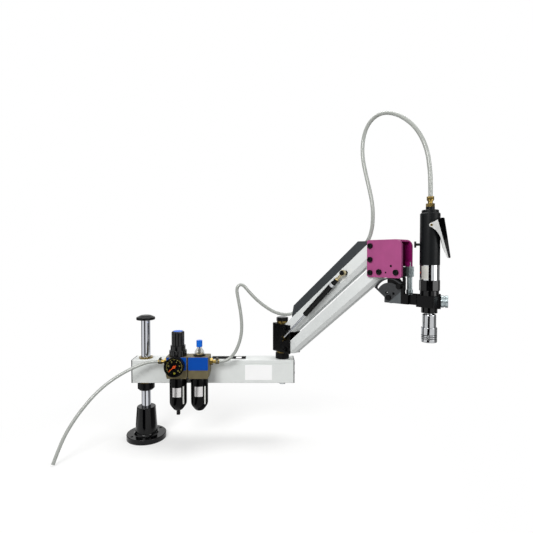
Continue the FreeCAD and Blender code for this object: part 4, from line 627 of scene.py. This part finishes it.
def wrap(name, axis, radius, start, end, low, high, material, body):
    """A thin strip round an upright axis, between two bearings in degrees from straight ahead."""
    bm = bmesh.new()
    turn = math.radians(start)
    foot = at(axis[0] + radius * math.sin(turn), axis[1] - radius * math.cos(turn), low)
    edge = bm.edges.new((bm.verts.new(foot), bm.verts.new(foot + at(0, 0, high - low))))
    bmesh.ops.spin(bm, geom=[edge, *edge.verts], cent=at(*axis, 0), axis=(0, 0, 1),
                   angle=math.radians(end - start), steps=max(4, round((end - start) / STEP_ANGLE)))
    bmesh.ops.recalc_face_normals(bm, faces=bm.faces)
    bmesh.ops.solidify(bm, geom=bm.faces[:], thickness=LABEL_THICKNESS * MM)
    bmesh.ops.recalc_face_normals(bm, faces=bm.faces)
    made = mesh_object(name, bm, material)
    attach(made, body)
    print(name, round(math.radians(end - start) * radius, 1), "by", round(high - low, 1), "mm")


FILTER, OILER = (119, -62), (186, -62)
wrap("filter_label", FILTER, 27.2, -28, 30, 162, 191, foil, "beam")
wrap("oiler_label", OILER, 27.2, -24, 30, 164, 195, foil, "beam")
sleeve_low, sleeve_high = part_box("exhaust_sleeve")
SPINDLE = tuple((sleeve_low[i] + sleeve_high[i]) / 2 / MM for i in (0, 1))
around = (sleeve_high[0] - sleeve_low[0]) / 2 / MM + 0.1
foot, crown = sleeve_low[2] / MM, sleeve_high[2] / MM
wrap("sleeve_panel", SPINDLE, around, -74, -29, foot + 2.5, crown - 2, bare_panel, "tool")
middle = (foot + crown) / 2
wrap("sleeve_dot", SPINDLE, around, -97, -89, middle - 2, middle + 1.5, needle_orange, "tool")

# %% [markdown]
# A bowl guard is a straight cup with a full round shoulder, and the sight dome over the drip tube swells
# above its seat. Both are turned shapes, so a half profile of radius and height is drawn and spun through
# a whole turn. A sphere or a cylinder would miss the shoulder.

# %% Bowl guards and sight dome
TURN_STEPS = 64
SHARP_ANGLE = math.radians(50)


def spun(name, axis, profile, material, node):
    """A round piece spun from its half profile, which stands in for a node."""
    bm = bmesh.new()
    row = [bm.verts.new(at(axis[0] + radius, axis[1], height)) for radius, height in profile]
    edges = [bm.edges.new(pair) for pair in zip(row, row[1:])]
    bmesh.ops.spin(bm, geom=[*row, *edges], cent=at(*axis, 0), axis=(0, 0, 1), angle=math.tau,
                   steps=TURN_STEPS, use_merge=True)
    bmesh.ops.remove_doubles(bm, verts=bm.verts, dist=MERGE)
    bmesh.ops.recalc_face_normals(bm, faces=bm.faces)
    made = mesh_object(name, bm, material)
    made.data.shade_smooth()
    sharp = made.modifiers.new("edges", "BEVEL")
    sharp.width = 0.6 * MM
    sharp.segments = 2
    sharp.angle_limit = SHARP_ANGLE
    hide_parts(node)
    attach(made, node_body[node])
    print(name, len(made.data.vertices), "corners")


bowl_profile = [(0, 219), (27, 219), (27, 141), (26.4, 136), (25, 132), (22.7, 128.3), (19.4, 123.6),
                (15.6, 118.8), (12.6, 115.8), (11, 115), (0, 115)]
dome_profile = [(0, 314), (7.5, 314), (8.4, 309), (11.5, 305), (14.6, 300), (15.4, 295), (15.4, 290.1),
                (0, 290.1)]
spun("filter_bowl_guard", FILTER, bowl_profile, smoked_bowl, "filter_bowl")
spun("oil_bowl_guard", OILER, bowl_profile, smoked_bowl, "oil_bowl")
spun("clear_dome", OILER, dome_profile, clear_pane, "sight_dome")

# %% [markdown]
# ## The gauge's face
# A black dial carries printed ticks and plain numbers over three quarters of a turn. An image would need
# unwrapping and would blur, so each tick is a small box, copied round by a loop. Discs are closed cones
# of equal radii, laid on their backs. The numbers are text turned into a mesh.

# %% Discs and the dial
GAUGE = (115.7, 261)
PRINT_DEPTH = -105.4


def disc(name, centre, radius, thickness, material, body, upright=False, place=None):
    """A flat round piece, lying or with its face to the front, in the frame that place gives."""
    bm = bmesh.new()
    bmesh.ops.create_cone(bm, cap_ends=True, segments=48, radius1=radius * MM, radius2=radius * MM,
                          depth=thickness * MM)
    if upright:
        bmesh.ops.rotate(bm, verts=bm.verts, cent=(0, 0, 0),
                         matrix=Matrix.Rotation(math.radians(90), 3, "X"))
    rim = [edge for edge in bm.edges if any(len(face.verts) > 4 for face in edge.link_faces)]
    bmesh.ops.bevel(bm, geom=rim, offset=thickness * MM * 0.3, segments=2, profile=0.5, affect="EDGES",
                    material=-1)
    bmesh.ops.translate(bm, vec=at(*centre), verts=bm.verts)
    if place is not None:
        bmesh.ops.transform(bm, matrix=place, verts=bm.verts)
    made = mesh_object(name, bm, material)
    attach(made, body)
    print(name, "radius", radius, "mm")


def on_dial(bearing, radius, depth):
    """A place on the gauge's face, with the bearing clockwise from straight up."""
    turn = math.radians(bearing)
    return at(GAUGE[0] + radius * math.sin(turn), depth, GAUGE[1] + radius * math.cos(turn))


disc("gauge_dial", (GAUGE[0], -105.2, GAUGE[1]), 26.6, 0.3, dial_black, "beam",
     upright=True)

# %% Ticks and numbers
SCALE_START, TICK_ANGLE, TICKS, TICKS_TO_A_LONG_ONE = -135, 5.4, 51, 5
TICK_CIRCLE, NUMBER_CIRCLE = 24.8, 16.6
bm = bmesh.new()
for step in range(TICKS):
    bearing = SCALE_START + TICK_ANGLE * step
    long = step % TICKS_TO_A_LONG_ONE == 0
    size = at(0.9 if long else 0.45, 0.2, 4.2 if long else 2.4)
    tick = bmesh.ops.create_cube(bm, size=1)["verts"]
    bmesh.ops.scale(bm, vec=size, verts=tick)
    bmesh.ops.rotate(bm, verts=tick, cent=(0, 0, 0), matrix=Matrix.Rotation(math.radians(bearing), 3, "Y"))
    bmesh.ops.translate(bm, verts=tick, vec=on_dial(bearing, TICK_CIRCLE - size.z / MM / 2, PRINT_DEPTH))
ticks = mesh_object("gauge_ticks", bm, dial_print)
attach(ticks, "beam")
disc("dial_mark", (GAUGE[0] + 0.5, PRINT_DEPTH, GAUGE[1] - 19.5), 3.4, 0.2, mark_green, "beam",
     upright=True)
for step in range(6):
    text = bpy.data.curves.new("dial_number_%d" % step, "FONT")
    text.body = str(step * 2)
    text.size = 6.2 * MM
    text.extrude = 0.1 * MM
    text.align_x = text.align_y = "CENTER"
    guide = bpy.data.objects.new("number_guide", text)
    scene.collection.objects.link(guide)
    flat = bpy.data.meshes.new_from_object(guide)
    bpy.data.objects.remove(guide)
    place = Matrix.Translation(on_dial(SCALE_START + 54 * step, NUMBER_CIRCLE, PRINT_DEPTH - 0.05))
    flat.transform(place @ Matrix.Rotation(math.radians(90), 4, "X"))
    number = bpy.data.objects.new("dial_number_%d" % step, flat)
    scene.collection.objects.link(number)
    flat.materials.clear()
    flat.materials.append(dial_print)
    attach(number, "beam")
print("ticks", TICKS, "corners", len(ticks.data.vertices))

# %% [markdown]
# The pointer is a tapered blade on a round hub, painted orange, and rests a few degrees above the scale's
# start. It is drawn upright about the origin, turned to its reading and then moved to the dial, so its
# parts need no angles of their own.

# %% Pointer
READING = -129
POINTER_DEPTH = -107.2
bm = bmesh.new()
blade = bmesh.ops.create_cube(bm, size=1)["verts"]
bmesh.ops.scale(bm, vec=at(2.9, 1.0, 30), verts=blade)
bmesh.ops.translate(bm, vec=at(0, 0, 8), verts=blade)
tip = [vertex for vertex in blade if vertex.co.z > 0]
bmesh.ops.scale(bm, vec=(0.45, 1, 1), verts=tip)
hub = bmesh.ops.create_cone(bm, cap_ends=True, segments=32, radius1=4.4 * MM, radius2=4.0 * MM,
                            depth=1.8 * MM)["verts"]
bmesh.ops.rotate(bm, verts=hub, cent=(0, 0, 0), matrix=Matrix.Rotation(math.radians(90), 3, "X"))
bmesh.ops.rotate(bm, verts=bm.verts, cent=(0, 0, 0), matrix=Matrix.Rotation(math.radians(READING), 3, "Y"))
bmesh.ops.translate(bm, vec=at(GAUGE[0], POINTER_DEPTH, GAUGE[1]), verts=bm.verts)
bmesh.ops.recalc_face_normals(bm, faces=bm.faces)
pointer = mesh_object("gauge_pointer", bm, needle_orange)
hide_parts("gauge_needle")
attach(pointer, node_body["gauge_needle"])
print("pointer at", READING, "degrees")

# %% [markdown]
# ## Pieces of two finishes
# Some solids carry more than one finish: the gas spring has a bright band, the chuck's grooves are
# darkened as painted shade, and the head's inside takes a deeper violet as painted shade. A mask in the
# material could do it, but its edge would be soft in the bake. So the node is copied, its faces are cut
# where the finish changes, and a small rule says which finish each face takes.

# %% Several finishes on one solid
def painted(node, materials, rule, cuts=(), width=0.4):
    """Stand a copy in for a node, with each face's finish picked by a rule from its middle."""
    made = soften(node, materials[0], width, name=node + "_painted")
    for extra in materials[1:]:
        made.data.materials.append(extra)
    bm = bmesh.new()
    bm.from_mesh(made.data)
    for place, normal in cuts:
        bmesh.ops.bisect_plane(bm, geom=bm.verts[:] + bm.edges[:] + bm.faces[:], dist=MERGE / 10,
                               plane_co=place, plane_no=normal)
    for face in bm.faces:
        face.material_index = rule(face.calc_center_median(), face.normal)
    bm.to_mesh(made.data)
    bm.free()
    print(made.name, [material.name for material in materials])


# %% Gas spring
BAND_START, BAND_END, CAP_END = 268.7, 278.2, 296.2
EYE_RADIUS = 9
lower_eye, upper_eye = arm_at(37.3, -30, 336.9), arm_at(278.36, -30, 553.01)
spring_way = (upper_eye - lower_eye).normalized()


def spring_finish(place, normal):
    """Black tube, bright band, black cap, then brass neck and eye."""
    along = (place - lower_eye).dot(spring_way) / MM
    return 0 if along < BAND_START else 1 if along < BAND_END else 0 if along < CAP_END else 2


def rod_finish(place, normal):
    """Chromed rod with a brass eye."""
    return 1 if (place - lower_eye).length / MM < EYE_RADIUS else 0


painted("gas_rod", [hard_chrome, machined_brass], rod_finish)
painted("gas_cylinder", [gas_black, gas_silver, pale_brass], spring_finish,
        [(lower_eye + spring_way * cut * MM, spring_way) for cut in (BAND_START, BAND_END, CAP_END)], 0.6)

# %% Chuck sleeve
tool_axis = arm_at(TOOL_REACH, 0, 0)


def chuck_finish(place, normal):
    """Bright sleeve with three grooves darkened as painted shade."""
    away = (place - tool_axis).to_2d().length / MM
    return 1 if away < sleeve_radius - 0.3 and abs(normal.z) < 0.5 and away > sleeve_radius - 1.2 else 0


box_low, box_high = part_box("chuck_sleeve")
sleeve_radius = (box_high[0] - box_low[0]) / 2 / MM
painted("chuck_sleeve", [turned_steel, groove_painted_shade], chuck_finish)
print("sleeve radius", round(sleeve_radius, 2))

# %% Head and sector
HEAD_MOUTH, CHEEK_INSIDE, WEB_UNDERSIDE = 434, 18.4, 633
CHEEK_CUT = 18.2
FOLD_REACH, FOLD_HEIGHT, BAR_START = 411.5, 482.5, 447.5
from_arm = TO_ARM.inverted()


def head_finish(place, normal):
    """Violet outside, and a darker violet as painted shade inside and at the open end."""
    spot = from_arm @ place / MM
    inside = abs(spot.y) < CHEEK_INSIDE
    far_end = spot.y > 18 and (from_arm.to_3x3() @ normal).x > 0.2
    return 1 if spot.x > HEAD_MOUTH and (inside or far_end) or inside and spot.z < WEB_UNDERSIDE else 0


cheek_cuts = [(arm_at(0, side, 0), arm_at(0, 1, 0) - arm_at(0, 0, 0)) for side in (-CHEEK_CUT, CHEEK_CUT)]
painted("head_casting", [violet_coat, violet_painted_shade], head_finish, cheek_cuts, width=1.6)
fold = arm_at(FOLD_REACH, 0, FOLD_HEIGHT)
slant = (arm_at(29, 0, -35.5) - arm_at(0, 0, 0)).normalized()
bar_way = (arm_at(1, 0, 0) - arm_at(0, 0, 0)).normalized()


def sector_finish(place, normal):
    """Charcoal quadrant, paler gusset below the diagonal as painted light, black bar."""
    spot = from_arm @ place / MM
    return 2 if spot.x > BAR_START else 1 if (place - fold).dot(slant) > 0 else 0


painted("sector_bracket", [charcoal_steel, gusset_painted_light, black_oxide], sector_finish,
        [(fold, slant), (arm_at(BAR_START, 0, 0), bar_way)], 0.8)
# Two black discs over the head's small holes are painted shade in the holes.
for number, (reach, height, radius) in enumerate(((424.1, 574.5, 2.9), (409.3, 558.1, 2.2))):
    disc("head_hole_painted_shade_%d" % number, (reach, -25.1, height), radius, 0.6, dial_black, "head",
         True, TO_ARM)

# %% [markdown]
# The throttle lever is a folded channel: its front is black, and a band of the near cheek along the inner
# edge takes a bright steel as a painted reflection. The band is cut along a plane from the pivot to the
# tip, as for the pieces above.

# %% Lever
LEVER_YAW = math.radians(-21.5)
TO_TOOL = Matrix.Translation(tool_axis) @ Matrix.Rotation(LEVER_YAW, 4, "Z")


def on_tool(along, side, height):
    """A place beside the tool, with x along the lever's way and y away from the viewer, in millimetres."""
    return TO_TOOL @ at(along, side, height)


band_top, band_tip = on_tool(16.5, 0, 680), on_tool(39.5, 0, 596)
band_normal = (band_tip - band_top).cross(on_tool(0, 1, 0) - on_tool(0, 0, 0)).normalized()
if band_normal.dot(on_tool(1, 0, 0) - on_tool(0, 0, 0)) < 0:
    band_normal.negate()


def lever_finish(place, normal):
    """Painted reflection in a band on both cheeks, black front."""
    return 0 if (place - band_top).dot(band_normal) > 0 else 1


painted("lever", [gloss_collar, cheek_painted_reflection], lever_finish, [(band_top, band_normal)], 0.5)
disc("lever_pin_end", (3.1, -25.3, 669.8), 2.6, 1.2, machined_brass, "throttle", True, TO_TOOL)

# %% [markdown]
# The last small pieces are round: the blue disc let into the regulator's knob, the brass seat under the
# sight dome, and the dark drip tube that shows through it. The same disc helper makes them all, lying
# flat.

# %% Knob disc, dome seat and drip tube
disc("knob_badge", (119, -62, 363.4), 14.5, 0.8, sky_blue_abs, "pressure_control")
disc("dome_seat", (186, -62, 291.5), 13.6, 3, machined_brass, "beam")
disc("drip_tube", (186, -62, 300), 4.5, 16, charcoal_steel, "beam")
